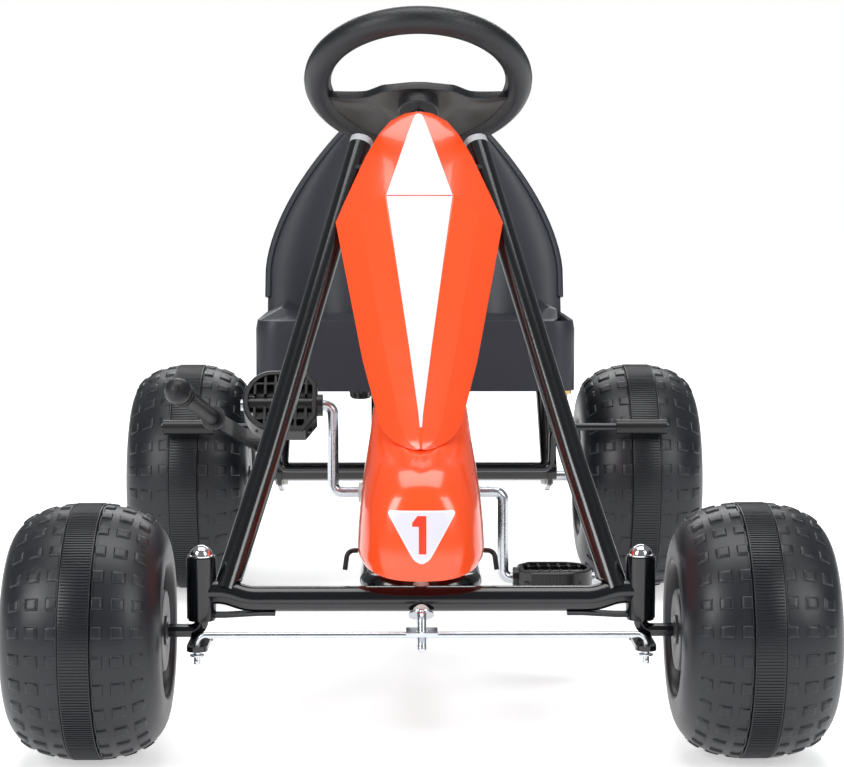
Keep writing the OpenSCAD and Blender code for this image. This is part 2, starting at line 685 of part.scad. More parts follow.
module steering_wheel() color(black_plastic) at_wheel() difference() {
    union() {
        rotate_extrude() translate([steer_r, 0]) circle(d = rim_d);
        translate([0, 0, -hub_deep]) cylinder(r = hub_r, h = hub_deep - dish_deep);
        translate([0, 0, -hub_deep]) cylinder(r = column_d / 2 + boss_wall, h = hub_deep - boss_top);
        intersection() {
            dish(dish_t);
            translate([0, 0, -hub_deep]) linear_extrude(2 * hub_deep) lower_half();
        }
    }
    translate([0, 0, -hub_deep - through]) cylinder(d = column_d, h = hub_deep + through - column_stop);
}
module wheel_cap() color(charcoal) at_wheel() difference() {
    translate([0, pad_drop, -dish_deep]) cylinder(r = pad_r, h = dish_deep - pad_top);
    dish(hub_deep);
    translate([0, 0, -hub_deep]) cylinder(r = column_d / 2 + boss_wall + clear, h = hub_deep);
}

stub_bend = 8;
stub_end = front_x + hub_face(front_w) + shaft_out;
arm_top = front_r - stub_d / 2 + 1.5;
arm_w = 16;
pin_top = housing_top + 5;
collar_gap = 1.6; // the washer that carries the housing
module knuckle() union() {
    bent_rod([[kingpin_x, front_y, pin_top], [kingpin_x, front_y, front_r], [stub_end, front_y, front_r]],
        stub_d, stub_bend);
    translate([kingpin_x, front_y, housing_z - collar_gap]) difference() {
        cylinder(d = housing_d - 2, h = collar_gap - clear);
        translate([0, 0, -through]) cylinder(d = stub_d, h = collar_gap + 2 * through);
    }
    translate([0, 0, arm_top - arm_t]) linear_extrude(arm_t) difference() {
        union() {
            translate([kingpin_x, tie_y]) circle(d = arm_w);
            translate([kingpin_x - arm_w / 2, tie_y]) square([arm_w, arm_len]);
            translate([kingpin_x, front_y]) circle(d = arm_w + 2);
        }
        translate([kingpin_x, tie_y]) circle(r = tie_d / 2 + running);
    }
}
module knuckle_left() color(black_paint) knuckle();
module knuckle_right() color(black_paint) mirror([1, 0, 0]) knuckle();

cap_r = 10.5;
cap_brim = 2;
dome_r = cap_r + 1.4;
dome_drop = 2.4; // how far the dome's centre lies below the brim's foot
module kingpin_cap() translate([kingpin_x, front_y, housing_top + clear]) difference() {
    union() {
        cylinder(r = cap_r, h = cap_brim);
        intersection() {
            translate([0, 0, -dome_drop]) sphere(r = dome_r);
            translate([0, 0, cap_brim / 2]) cylinder(r = cap_r, h = dome_r);
        }
    }
    translate([0, 0, -through]) cylinder(d = stub_d, h = pin_top - housing_top - clear + through);
}
module kingpin_cap_left() color(zinc) kingpin_cap();
module kingpin_cap_right() color(zinc) mirror([1, 0, 0]) kingpin_cap();

tie_bend = 7;
tie_foot = 82;
module tie_rod() color(zinc) bent_rod([[-kingpin_x, tie_y, tie_foot], [-kingpin_x, tie_y, tie_z],
    [kingpin_x, tie_y, tie_z], [kingpin_x, tie_y, tie_foot]], tie_d, tie_bend);

tie_plate_w = 24;
tie_plate_t = 3;
tie_plate_z = tie_z + tie_d / 2;
slot_y = tie_y - hook_ahead + (tie_plate_z + tie_plate_t / 2 - tie_z) / tan(column_slope);
slot_play = 0.8;
slot_half = hook_d / 2 + slot_play;
slot_reach = hook_d / 2 / sin(column_slope) + 2 * slot_play;
slot_edge = 6; // metal ahead of the slot
module tie_rod_plate() color(zinc) difference() {
    translate([-tie_plate_w / 2, slot_y - slot_reach - slot_edge, tie_plate_z])
        cube([tie_plate_w, tie_y + tie_d / 2 - slot_y + slot_reach + slot_edge, tie_plate_t]);
    translate([-slot_half, slot_y - slot_reach, tie_plate_z - through])
        cube([2 * slot_half, 2 * (slot_reach + slot_play), tie_plate_t + 2 * through]);
}

split_d = 1.6;
split_up = 3; // from the tie rod's end to its split pin
split_reach = [-9, 7];
split_washer_d = 11;
split_washer_t = 1;
module split_pins() color(zinc) for (side = [-1, 1]) translate([side * kingpin_x, tie_y, tie_foot + split_up])
    difference() {
        union() {
            rod([0, split_reach[0], 0], [0, split_reach[1], 0], split_d);
            translate([0, 0, 2 * split_d]) cylinder(d = split_washer_d, h = split_washer_t);
        }
        translate([0, 0, -tie_d]) cylinder(d = tie_d, h = 3 * tie_d);
    }

// --- Wheels ----------------------------------------------------------------------------------------

// Balloon outline: radius at x across the wheel, from the tread's middle to the side lip
lip_ratio = 0.6;
belly = 2.4;
function balloon(x, r, w) = let (lip = lip_ratio * r)
    lip + (r - lip) * pow(max(0, 1 - pow(min(1, abs(x) / (w / 2)), belly)), 1 / belly);

// Half section of a wheel in [radius, x], from the seam outwards over the lip and into the dished face
channel_ratio = [0.53, 0.50, 0.34, 0.32]; // radii of the channel's edges over the wheel's radius
face_steps = 16;
seam_ratio = 0.115;
function outer_line(r, w, seam) = concat(
    [for (i = [0:face_steps]) let (a = 90 * i / face_steps, x = seam + (w / 2 - seam) * sin(a))
        [balloon(x, r, w), x]],
    [[channel_ratio[0] * r, w / 2], [channel_ratio[1] * r, w / 2 - channel_in],
        [channel_ratio[2] * r, w / 2 - channel_in], [channel_ratio[3] * r, w / 2 - disc_in],
        [hub_bush_r, hub_face(w)]]);
function inner_line(r, w, seam) = concat(
    [[hub_bush_r, seam], [boss_r, seam], [boss_r, w / 2 - disc_in - wheel_wall],
        [channel_ratio[3] * r - wheel_wall, w / 2 - disc_in - wheel_wall],
        [channel_ratio[2] * r - wheel_wall, w / 2 - channel_in - wheel_wall],
        [channel_ratio[1] * r + wheel_wall, w / 2 - channel_in - wheel_wall],
        [channel_ratio[0] * r + wheel_wall, w / 2 - wheel_wall]],
    [for (i = [face_steps:-1:0]) let (a = 90 * i / face_steps, x = seam + (w / 2 - wheel_wall - seam) * sin(a))
        [balloon(x, r - wheel_wall, w - 2 * wheel_wall), x]]);
module wheel_half(r, w, seam) rotate([0, 90, 0]) rotate_extrude($fn = 96)
    polygon(concat(outer_line(r, w, seam), inner_line(r, w, seam)));

// The outer half carries the middle band, the inner half is the mirrored rest
module wheel_outer(r, w) wheel_half(r, w, -seam_ratio * r);
module wheel_inner(r, w) mirror([1, 0, 0]) wheel_half(r, w, seam_ratio * r);

// Bush through the wheel, with its flanges and the cap over the axle's end
flange_t = 2;
cap_rim = 3;
cap_crown = 2;
module wheel_hub(w, shaft_d, turning) {
    face = hub_face(w);
    rotate([0, 90, 0]) {
        difference() {
            union() {
                translate([0, 0, -face]) cylinder(r = hub_bush_r, h = 2 * face);
                translate([0, 0, -face - flange_t]) cylinder(r = boss_r - 1, h = flange_t);
            }
            translate([0, 0, -face - flange_t - through])
                cylinder(r = shaft_d / 2 + turning, h = 2 * face + flange_t + 2 * through);
        }
        difference() {
            union() {
                translate([0, 0, face]) cylinder(r = boss_r - 1, h = cap_rim);
                translate([0, 0, face + cap_rim]) cylinder(r1 = boss_r - 1, r2 = boss_r - 4, h = cap_crown);
            }
            translate([0, 0, face - through]) cylinder(r = shaft_d / 2 + turning, h = through + shaft_out + clear);
        }
    }
}

module at_front(side) translate([side * front_x, front_y, front_r]) scale([side, 1, 1]) children();
module at_rear(side) translate([side * rear_x, rear_y, rear_r]) scale([side, 1, 1]) children();
module front_outer(side) color(black_plastic) at_front(side) wheel_outer(front_r, front_w);
module front_inner(side) color(black_plastic) at_front(side) wheel_inner(front_r, front_w);
module front_hub(side) color(charcoal) at_front(side)
    wheel_hub(front_w, stub_d, running);
module rear_outer(side) color(black_plastic) at_rear(side) wheel_outer(rear_r, rear_w);
module rear_inner(side) color(black_plastic) at_rear(side) wheel_inner(rear_r, rear_w);
module rear_hub(side, turning) color(charcoal) at_rear(side)
    wheel_hub(rear_w, axle_d, turning);

// --- Seat ------------------------------------------------------------------------------------------

pan_back = seat_front + seat_depth;
apron_z = 236;
apron_side_z = 251;
back_top = seat_z + back_h;
back_lean = 62;
back_root = 3; // how far the backrest's foot goes into the pan's top
back_in = 24; // from the pan's back edge to the backrest's face
bolster = 46;
bolster_fade = 0.72; // share of the bolster lost at the top
crown = 0.10; // how far the top corners drop, over the height
roll_w = 42; // the pan's raised sides
roll_h = 15;
roll_top = [0.45, 0.2]; // the roll's flat top, over its width
roll_end = pan_back - back_in - bolster - 2; // it stops just ahead of the backrest's bolsters
// Half width of the backrest against its height above the pan, 0 to 1
back_foot_half = seat_w / 2 - 2;
back_taper = 150;
taper_from = 0.2;
function back_half(v) = back_foot_half - back_taper * pow(max(0, v - taper_from), 1.6);
back_rows = 12;
back_cols = 14;
function back_point(v, u, wall) = let (half = back_half(v), side = abs(u),
    forward = bolster * (1 - bolster_fade * v) * pow(side, 4))
    [half * u, pan_back - back_in + back_lean * v - forward + wall,
        seat_z - back_root + (back_h + back_root) * v * (1 - crown * pow(side, 4) * v)];
module seat_shell() color(charcoal) union() {
    difference() {
        pan_block(0, seat_z);
        translate([0, 0, -2 * seat_wall]) pan_block(seat_wall, seat_z + seat_wall);
    }
    for (side = [0, 1]) mirror([side, 0, 0]) translate([0, roll_end, 0]) rotate([90, 0, 0])
        linear_extrude(roll_end - seat_front - pan_corner) polygon([
            [seat_w / 2 - roll_w, seat_z - back_root], [seat_w / 2 - roll_w, seat_z],
            [seat_w / 2 - roll_top[0] * roll_w, seat_z + roll_h],
            [seat_w / 2 - roll_top[1] * roll_w, seat_z + roll_h],
            [seat_w / 2 - 1, seat_z], [seat_w / 2 - 1, seat_z - back_root]]);
    thick_sheet(
        [for (i = [0:back_rows]) [for (j = [0:back_cols]) back_point(i / back_rows, 2 * j / back_cols - 1, 0)]],
        [for (i = [0:back_rows]) [for (j = [0:back_cols])
            back_point(i / back_rows, 2 * j / back_cols - 1, seat_wall)]]);
}
pan_corner = 22;
apron_front = 40; // the tall front of the apron turns this far round the corners
// The pan with its apron, its front taller than its sides
module pan_block(inset, top) difference() {
    translate([0, 0, apron_z]) linear_extrude(top - apron_z) translate([-seat_w / 2 + inset, seat_front + inset])
        round_rect(seat_w - 2 * inset, seat_depth - 2 * inset, pan_corner);
    if (inset == 0) for (side = [-1, 1])
        translate([side * seat_w / 2 - apron_front, seat_front + apron_front, apron_z - through])
            cube([2 * apron_front, seat_depth, apron_side_z - apron_z + through]);
}
module round_rect(w, d, r) polygon(concat(arc(r, 0, 90, 6, [w - r, d - r]), arc(r, 90, 180, 6, [r, d - r]),
    arc(r, 180, 270, 6, [r, r]), arc(r, 270, 360, 6, [w - r, r])));

channel_half = 76;
channel_t = 3;
channel_z = rail_z + rail_t + clear;
channel_front = 8; // from the pan's front and back edges to the channel's
channel_back = 22;
stud_r = 3; // the knob's threaded stud
module seat_bracket() color(black_paint) difference() {
    translate([-channel_half, seat_front + channel_front, channel_z])
        cube([2 * channel_half, seat_depth - channel_front - channel_back, seat_z - seat_wall - channel_z]);
    translate([-channel_half + channel_t, seat_front, channel_z + channel_t])
        cube([2 * (channel_half - channel_t), seat_depth, seat_z]);
    translate([-rail_x, knob_y, channel_z - through])
        cylinder(r = stud_r + running, h = channel_t + 2 * through);
}

bolt_x = seat_w / 2 - 9;
bolt_y = seat_front + 20;
bolt_r = 4;
bolt_len = 19;
bolt_point = 13; // length of the tapered end
cap_nut_h = 4;
module seat_bolts() color([0.75, 0.62, 0.3]) for (side = [-1, 1])
    translate([side * bolt_x, bolt_y, apron_z - bolt_len]) {
        cylinder(r1 = bolt_r - 1, r2 = bolt_r, h = bolt_point);
        translate([0, 0, bolt_point]) cylinder(r = bolt_r, h = bolt_len - bolt_point);
        translate([0, 0, bolt_len - cap_nut_h]) difference() {
            cylinder(r = 2 * bolt_r, h = cap_nut_h);
            translate([0, 0, -through]) cylinder(r = bolt_r, h = cap_nut_h + 2 * through);
        }
    }

knob_neck = 14;
knob_top = rail_z - clear - knob_neck;
knob_h = 24;
knob_base = 8; // the knob's lower and upper tapers
knob_shoulder = 6;
neck_r = 7;
stud_out = 4; // how far the stud stands out above the channel's floor
module seat_knob() color(black_plastic) translate([-rail_x, knob_y, knob_top - knob_h]) {
    cylinder(r1 = knob_d / 2 - 3, r2 = knob_d / 2, h = knob_base);
    translate([0, 0, knob_base]) cylinder(d = knob_d, h = knob_h - knob_base - knob_shoulder);
    translate([0, 0, knob_h - knob_shoulder]) cylinder(r1 = knob_d / 2, r2 = neck_r, h = knob_shoulder);
    translate([0, 0, knob_h]) cylinder(r = neck_r, h = knob_neck);
    translate([0, 0, knob_h + knob_neck])
        cylinder(r = stud_r, h = channel_z + channel_t + stud_out - knob_top - knob_neck);
}

// --- Brake -----------------------------------------------------------------------------------------

brake_ahead = 111; // the yoke's pivot lies this far ahead of the rear axle
brake_block = [14, 16]; // the pivot blocks, across and along
block_over = 8; // metal above and below the pivot's axis
brake_pivot = [rear_y - brake_ahead, loop_z + loop_d / 2 + block_over];
bar_z = rear_r + 68;
bar_reach = rear_r + sleeve_d / 2 + brake_gap;
bar_y = rear_y - sqrt(pow(bar_reach, 2) - pow(bar_z - rear_r, 2));
yoke_half = 148;
sleeve_from = yoke_half + 68;
rod_out = 2; // how far the rod stands out of its sleeve
yoke_end = sleeve_from + sleeve_len + rod_out;
yoke_bend = 10;
module brake_yoke() color(black_paint) bent_rod([[-yoke_end, bar_y, bar_z], [-yoke_half, bar_y, bar_z],
    [-yoke_half, brake_pivot[0], brake_pivot[1]], [yoke_half, brake_pivot[0], brake_pivot[1]],
    [yoke_half, bar_y, bar_z], [yoke_end, bar_y, bar_z]], brake_rod_d, yoke_bend);

module brake_sleeves() color(black_plastic) for (side = [-1, 1]) scale([side, 1, 1]) difference() {
    rod([sleeve_from, bar_y, bar_z], [sleeve_from + sleeve_len, bar_y, bar_z], sleeve_d);
    rod([yoke_half, bar_y, bar_z], [yoke_end, bar_y, bar_z], brake_rod_d);
}

module brake_brackets() color(black_paint) difference() {
    for (side = [-1, 1]) translate([side * loop_half - brake_block[0] / 2,
        brake_pivot[0] - brake_block[1] / 2, loop_z])
        cube([brake_block[0], brake_block[1], brake_pivot[1] + block_over - loop_z]);
    loop_leg_space();
    rod([-yoke_half, brake_pivot[0], brake_pivot[1]], [yoke_half, brake_pivot[0], brake_pivot[1]],
        brake_rod_d + 2 * running);
}

lever_w = 16;
lever_t = 4;
lever_foot = [-yoke_half - lever_t - 1.5, bar_y + lever_t, bar_z - 28];
lever_head = [-204, rear_y - 240, 214];
lever_weld = [8, 20, 18]; // the block that is welded to the yoke's arm
tang_d = 9; // the lever's round tang inside the grip
tang_len = 30;
grip_dir = unit([-33, -90, 40]);
grip_len = 78;
grip_gap = 4; // from the lever's end to the grip
grip_flange_d = 26;
grip_flange_t = 4;
grip_r = [8, 10];
grip_ball_up = 12;
module brake_lever() color(black_paint) difference() {
    union() {
        w = unit(lever_head - lever_foot);
        u = unit(cross([0, 0, 1], w));
        multmatrix(basis(u, cross(w, u), w, lever_foot)) translate([-lever_t / 2, -lever_w / 2, 0])
            cube([lever_t, lever_w, norm(lever_head - lever_foot)]);
        translate(lever_foot + [1, 0, 0] - lever_weld / 2) cube(lever_weld);
        rod(lever_head, lever_head + grip_dir * tang_len, tang_d);
    }
    brake_yoke();
}

module brake_grip() color(black_plastic) {
    w = grip_dir;
    u = unit(cross([0, 0, 1], w));
    multmatrix(basis(u, cross(w, u), w, lever_head + grip_gap * w)) difference() {
        union() {
            cylinder(d = grip_flange_d, h = grip_flange_t);
            translate([0, 0, grip_flange_t]) cylinder(r1 = grip_r[0], r2 = grip_r[1], h = grip_len);
            translate([0, 0, grip_len]) cylinder(d = grip_flange_d - 1, h = grip_flange_t);
            translate([0, 0, grip_len + grip_ball_up]) sphere(d = grip_flange_d);
        }
        translate([0, 0, -grip_gap - through])
            cylinder(d = tang_d, h = tang_len + 1 + through);
    }
}

front_beam();
kingpin_housings();
beam_gussets();
steering_stay_left();
steering_stay_right();
stay_plugs();
column_bracket();
main_loop();
rear_cross_tube();
rear_bearing_plates();
bearing_bushes();
crank_brackets();
seat_hoop();
seat_front_stay();
seat_rails();
brake_brackets();
hood_upper();
hood_lower();
hood_stripe();
number_label();
hood_clips();
chain_guard_left();
chain_guard_right();
chain();
steering_column();
steering_wheel();
wheel_cap();
knuckle_left();
knuckle_right();
kingpin_cap_left();
kingpin_cap_right();
tie_rod();
tie_rod_plate();
split_pins();
front_outer(1);  // front_left_outer
front_inner(1);  // front_left_inner
front_hub(1);  // front_left_hub
front_outer(-1);  // front_right_outer
front_inner(-1);  // front_right_inner
front_hub(-1);  // front_right_hub
rear_outer(1);  // rear_left_outer
rear_inner(1);  // rear_left_inner
rear_hub(1, running);  // rear_left_hub
rear_outer(-1);  // rear_right_outer
rear_inner(-1);  // rear_right_inner
rear_hub(-1, 0);  // rear_right_hub
rear_axle();
rear_sprocket();
crank();
chainwheel();
pedal_left();
pedal_right();
seat_shell();
seat_bracket();
seat_bolts();
seat_knob();
brake_yoke();
brake_lever();
brake_grip();
brake_sleeves();
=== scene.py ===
# Child's pedal go kart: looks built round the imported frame.
import json
import math

import bmesh
import bpy
from mathutils import Matrix, Vector


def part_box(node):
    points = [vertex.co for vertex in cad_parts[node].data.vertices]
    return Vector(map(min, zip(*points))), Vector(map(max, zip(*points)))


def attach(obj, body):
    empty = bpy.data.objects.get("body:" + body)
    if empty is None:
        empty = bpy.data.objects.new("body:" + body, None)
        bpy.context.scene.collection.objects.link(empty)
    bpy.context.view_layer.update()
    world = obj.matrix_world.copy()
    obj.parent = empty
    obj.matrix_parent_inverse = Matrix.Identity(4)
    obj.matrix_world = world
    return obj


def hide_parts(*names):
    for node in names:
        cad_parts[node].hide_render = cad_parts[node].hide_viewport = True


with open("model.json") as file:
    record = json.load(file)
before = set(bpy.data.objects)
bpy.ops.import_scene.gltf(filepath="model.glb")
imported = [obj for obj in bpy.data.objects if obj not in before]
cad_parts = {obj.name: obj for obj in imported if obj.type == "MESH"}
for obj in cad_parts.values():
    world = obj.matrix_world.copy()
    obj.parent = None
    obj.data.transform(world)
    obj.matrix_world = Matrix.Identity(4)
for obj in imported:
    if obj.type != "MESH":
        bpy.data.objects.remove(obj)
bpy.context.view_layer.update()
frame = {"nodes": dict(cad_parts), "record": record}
nodes = frame["nodes"]

# ---------------------------------------------------------------- studio


def add_camera():
    lens = bpy.data.cameras.new("camera")
    lens.lens = 92.5
    lens.sensor_width = 36.0
    lens.clip_end = 30.0
    camera = bpy.data.objects.new("camera", lens)
    bpy.context.scene.collection.objects.link(camera)
    camera.location = (-0.017, -2.073, 0.434)
    camera.rotation_euler = (math.radians(90 - 4.76), 0, math.radians(-0.6))
    bpy.context.scene.camera = camera


def add_softbox(name, place, aim, size, power):
    data = bpy.data.lights.new(name, "AREA")
    data.shape = "RECTANGLE"
    data.size, data.size_y = size
    data.energy = power
    lamp = bpy.data.objects.new(name, data)
    bpy.context.scene.collection.objects.link(lamp)
    lamp.location = place
    lamp.rotation_euler = (Vector(aim) - Vector(place)).to_track_quat("-Z", "Y").to_euler()


def add_studio():
    scene = bpy.context.scene
    scene.view_settings.view_transform = "Standard"
    world = bpy.data.worlds.new("studio")
    scene.world = world
    world.use_nodes = True
    tree = world.node_tree
    tree.nodes.clear()
    out = tree.nodes.new("ShaderNodeOutputWorld")
    mix = tree.nodes.new("ShaderNodeMixShader")
    seen = tree.nodes.new("ShaderNodeBackground")
    fill = tree.nodes.new("ShaderNodeBackground")
    path = tree.nodes.new("ShaderNodeLightPath")
    seen.inputs["Color"].default_value = (1, 1, 1, 1)
    seen.inputs["Strength"].default_value = 1.0
    fill.inputs["Color"].default_value = (0.93, 0.96, 1, 1)
    fill.inputs["Strength"].default_value = 0.22
    tree.links.new(path.outputs["Is Camera Ray"], mix.inputs[0])
    tree.links.new(fill.outputs[0], mix.inputs[1])
    tree.links.new(seen.outputs[0], mix.inputs[2])
    tree.links.new(mix.outputs[0], out.inputs["Surface"])
    add_softbox("top_softbox", (0, -0.2, 2.6), (0, 0, 0.2), (2.2, 1.6), 40)
    add_softbox("left_softbox", (-2.0, -2.1, 1.7), (0, 0, 0.25), (1.0, 1.6), 40)
    add_softbox("right_softbox", (2.0, -2.1, 1.7), (0, 0, 0.25), (1.0, 1.6), 30)
    add_softbox("back_softbox", (0, 2.6, 1.9), (0, 0, 0.3), (2.4, 1.0), 26)
    bpy.ops.mesh.primitive_circle_add(vertices=96, radius=40, fill_type="NGON")
    floor = bpy.context.object
    floor.name = "studio_floor"
    floor.data.materials.append(floor_white())


# ---------------------------------------------------------------- materials


def new_material(name, colour, roughness, **sockets):
    """A material with a plain shader, whose even values are set on its own sockets."""
    material = bpy.data.materials.new(name)
    material.use_nodes = True
    shader = material.node_tree.nodes["Principled BSDF"]
    shader.inputs["Base Color"].default_value = (*colour, 1)
    shader.inputs["Roughness"].default_value = roughness
    for key, value in sockets.items():
        shader.inputs[key.replace("_", " ").title().replace("Ior", "IOR")].default_value = value
    return material


def shader_of(material):
    return material.node_tree.nodes["Principled BSDF"]


def new_group(name, inputs, outputs):
    group = bpy.data.node_groups.new(name, "ShaderNodeTree")
    for label, kind, value in inputs:
        socket = group.interface.new_socket(label, in_out="INPUT", socket_type="NodeSocket" + kind)
        if value is not None:
            socket.default_value = value
    for label, kind in outputs:
        group.interface.new_socket(label, in_out="OUTPUT", socket_type="NodeSocket" + kind)
    return group, group.nodes.new("NodeGroupInput"), group.nodes.new("NodeGroupOutput")


def noise(tree, vector, scale, detail=3.0, rough=0.5):
    node = tree.nodes.new("ShaderNodeTexNoise")
    if isinstance(scale, bpy.types.NodeSocket):
        tree.links.new(scale, node.inputs["Scale"])
    else:
        node.inputs["Scale"].default_value = scale
    node.inputs["Detail"].default_value = detail
    node.inputs["Roughness"].default_value = rough
    tree.links.new(vector, node.inputs["Vector"])
    return node.outputs["Fac"]


def math_node(tree, kind, a, b=None, c=None):
    node = tree.nodes.new("ShaderNodeMath")
    node.operation = kind
    for socket, value in zip(node.inputs, (a, b, c)):
        if value is None:
            continue
        if isinstance(value, bpy.types.NodeSocket):
            tree.links.new(value, socket)
        else:
            socket.default_value = value
    return node.outputs[0]


def mix_colour(tree, amount, a, b):
    node = tree.nodes.new("ShaderNodeMix")
    node.data_type = "RGBA"
    for socket, value in ((node.inputs[0], amount), (node.inputs[6], a), (node.inputs[7], b)):
        if isinstance(value, bpy.types.NodeSocket):
            tree.links.new(value, socket)
        else:
            socket.default_value = value
    return node.outputs[2]


def make_surface_group():
    """Uneven tone, gloss and fine grain, as mouldings and paint have: scales are in features per metre."""
    group, inside, out = new_group("surface_unevenness", [
        ("Vector", "Vector", None), ("Colour", "Color", (0.5, 0.5, 0.5, 1)), ("Tone", "Float", 0.15),
        ("Roughness", "Float", 0.4), ("Gloss spread", "Float", 0.08), ("Patch scale", "Float", 14.0),
        ("Grain scale", "Float", 900.0), ("Dust", "Float", 0.0)],
        [("Colour", "Color"), ("Roughness", "Float"), ("Height", "Float")])
    v = inside.outputs["Vector"]
    patches = noise(group, v, inside.outputs["Patch scale"], 4.0)
    grain = noise(group, v, inside.outputs["Grain scale"], 2.0)
    offset = math_node(group, "SUBTRACT", patches, 0.5)
    tone = math_node(group, "MULTIPLY_ADD", offset, inside.outputs["Tone"], 1.0)
    scaled = group.nodes.new("ShaderNodeVectorMath")
    scaled.operation = "SCALE"
    group.links.new(inside.outputs["Colour"], scaled.inputs[0])
    group.links.new(tone, scaled.inputs["Scale"])
    normal = group.nodes.new("ShaderNodeNewGeometry").outputs["Normal"]
    up = group.nodes.new("ShaderNodeSeparateXYZ")
    group.links.new(normal, up.inputs[0])
    facing_up = math_node(group, "MAXIMUM", up.outputs["Z"], 0.0)
    dust = math_node(group, "MULTIPLY", math_node(group, "MULTIPLY", facing_up, patches),
                     inside.outputs["Dust"])
    group.links.new(mix_colour(group, dust, scaled.outputs[0], (0.45, 0.43, 0.40, 1)), out.inputs["Colour"])
    gloss = math_node(group, "MULTIPLY_ADD", offset, inside.outputs["Gloss spread"],
                      inside.outputs["Roughness"])
    group.links.new(math_node(group, "ADD", gloss, math_node(group, "MULTIPLY", dust, 0.5)),
                    out.inputs["Roughness"])
    group.links.new(grain, out.inputs["Height"])
    return group


def object_vector(tree, at=(0, 0, 0), turn=(0, 0, 0), scale=(1, 1, 1)):
    """Object coordinates, centred at a point of the piece."""
    place = tree.nodes.new("ShaderNodeMapping")
    place.vector_type = "POINT"
    where = tree.nodes.new("ShaderNodeTexCoord")
    shift = tree.nodes.new("ShaderNodeVectorMath")
    shift.operation = "SUBTRACT"
    shift.inputs[1].default_value = at
    tree.links.new(where.outputs["Object"], shift.inputs[0])
    tree.links.new(shift.outputs[0], place.inputs["Vector"])
    place.inputs["Rotation"].default_value = turn
    place.inputs["Scale"].default_value = scale
    return place.outputs[0]


def finish_surface(material, colour, tone, roughness, spread, patch, grain, dust, depth,
                   stretch=(1, 1, 1), extra=None):
    """Feeds colour, roughness and bump of a material from the shared unevenness group."""
    tree = material.node_tree
    shader = shader_of(material)
    vector = object_vector(tree, scale=stretch)
    node = tree.nodes.new("ShaderNodeGroup")
    node.node_tree = surface_group
    tree.links.new(vector, node.inputs["Vector"])
    node.inputs["Colour"].default_value = (*colour, 1)
    node.inputs["Tone"].default_value = tone
    node.inputs["Roughness"].default_value = roughness
    node.inputs["Gloss spread"].default_value = spread
    node.inputs["Patch scale"].default_value = patch
    node.inputs["Grain scale"].default_value = grain
    node.inputs["Dust"].default_value = dust
    tree.links.new(node.outputs["Colour"], shader.inputs["Base Color"])
    tree.links.new(node.outputs["Roughness"], shader.inputs["Roughness"])
    bump = tree.nodes.new("ShaderNodeBump")
    bump.inputs["Strength"].default_value = 1.0
    bump.inputs["Distance"].default_value = depth
    height = node.outputs["Height"]
    if extra is not None:
        height = math_node(tree, "ADD", height, extra(tree))
    tree.links.new(height, bump.inputs["Height"])
    tree.links.new(bump.outputs[0], shader.inputs["Normal"])
    return material


def uneven_material(name, colour, roughness, tone=0.15, spread=0.08, patch=14.0, grain=900.0, dust=0.0,
                    depth=0.0001, stretch=(1, 1, 1), extra=None, **sockets):
    material = new_material(name, colour, roughness, **sockets)
    return finish_surface(material, colour, tone, roughness, spread, patch, grain, dust, depth, stretch,
                          extra)


def floor_white():
    """White floor that glows a little more away from the middle, so its far edge melts into the backdrop."""
    material = uneven_material("floor_white", (0.95, 0.95, 0.95), 0.6, tone=0.01, spread=0.05, depth=0.00001,
                               emission_color=(1, 1, 1, 1))
    tree = material.node_tree
    length = tree.nodes.new("ShaderNodeVectorMath")
    length.operation = "LENGTH"
    tree.links.new(object_vector(tree), length.inputs[0])
    spread = tree.nodes.new("ShaderNodeMapRange")
    for key, value in (("From Min", 0.7), ("From Max", 2.4), ("To Min", 0.5), ("To Max", 0.9)):
        spread.inputs[key].default_value = value
    tree.links.new(length.outputs["Value"], spread.inputs["Value"])
    tree.links.new(spread.outputs[0], shader_of(material).inputs["Emission Strength"])
    return material


surface_group = make_surface_group()
PAINT = uneven_material("black_powder_coat", (0.003, 0.0034, 0.005), 0.2, tone=0.3, spread=0.08, grain=420,
                        depth=0.00006, coat_weight=0.35, coat_roughness=0.06)
WHEEL = uneven_material("charcoal_wheel_plastic", (0.0055, 0.0068, 0.0105), 0.36, tone=0.3, spread=0.12,
                        patch=30, grain=1100, dust=0.05, depth=0.00012)
HUB = uneven_material("hub_plastic", (0.02, 0.02, 0.022), 0.36, grain=900, depth=0.00005)
SEAT = uneven_material("charcoal_seat_plastic", (0.017, 0.019, 0.028), 0.42, tone=0.18, spread=0.1, patch=9,
                       grain=1500, dust=0.04, depth=0.00008)
HOOD = uneven_material("orange_hood_gloss", (0.98, 0.085, 0.014), 0.22, tone=0.06, spread=0.05, patch=6,
                       grain=60, depth=0.00025, coat_weight=0.5, coat_roughness=0.06)
STICKER = uneven_material("white_film", (0.78, 0.77, 0.80), 0.28, tone=0.03, spread=0.05, grain=300,
                          depth=0.00003)
GRAINED = uneven_material("grained_black_plastic", (0.006, 0.0066, 0.0085), 0.4, tone=0.25, spread=0.12,
                          grain=650, dust=0.03, depth=0.0004)
SMOOTH = uneven_material("smooth_black_plastic", (0.007, 0.007, 0.008), 0.3, tone=0.2, spread=0.1,
                         grain=900, dust=0.03, depth=0.00008)
ZINC = uneven_material("bright_zinc", (0.62, 0.65, 0.69), 0.26, tone=0.25, spread=0.2, patch=60,
                       grain=500, depth=0.00008, metallic=1.0)
CAP_CHROME = uneven_material("polished_cap", (0.75, 0.75, 0.78), 0.12, tone=0.1, spread=0.08, patch=80,
                             grain=500, depth=0.00003, metallic=1.0)
CHAIN_STEEL = uneven_material("oiled_chain_steel", (0.2, 0.18, 0.15), 0.35, tone=0.5, spread=0.2,
                              patch=120, grain=700, depth=0.0001, metallic=1.0)
GREY_PLUG = uneven_material("grey_plug_plastic", (0.5, 0.51, 0.53), 0.4, tone=0.08, grain=900, depth=0.00006)
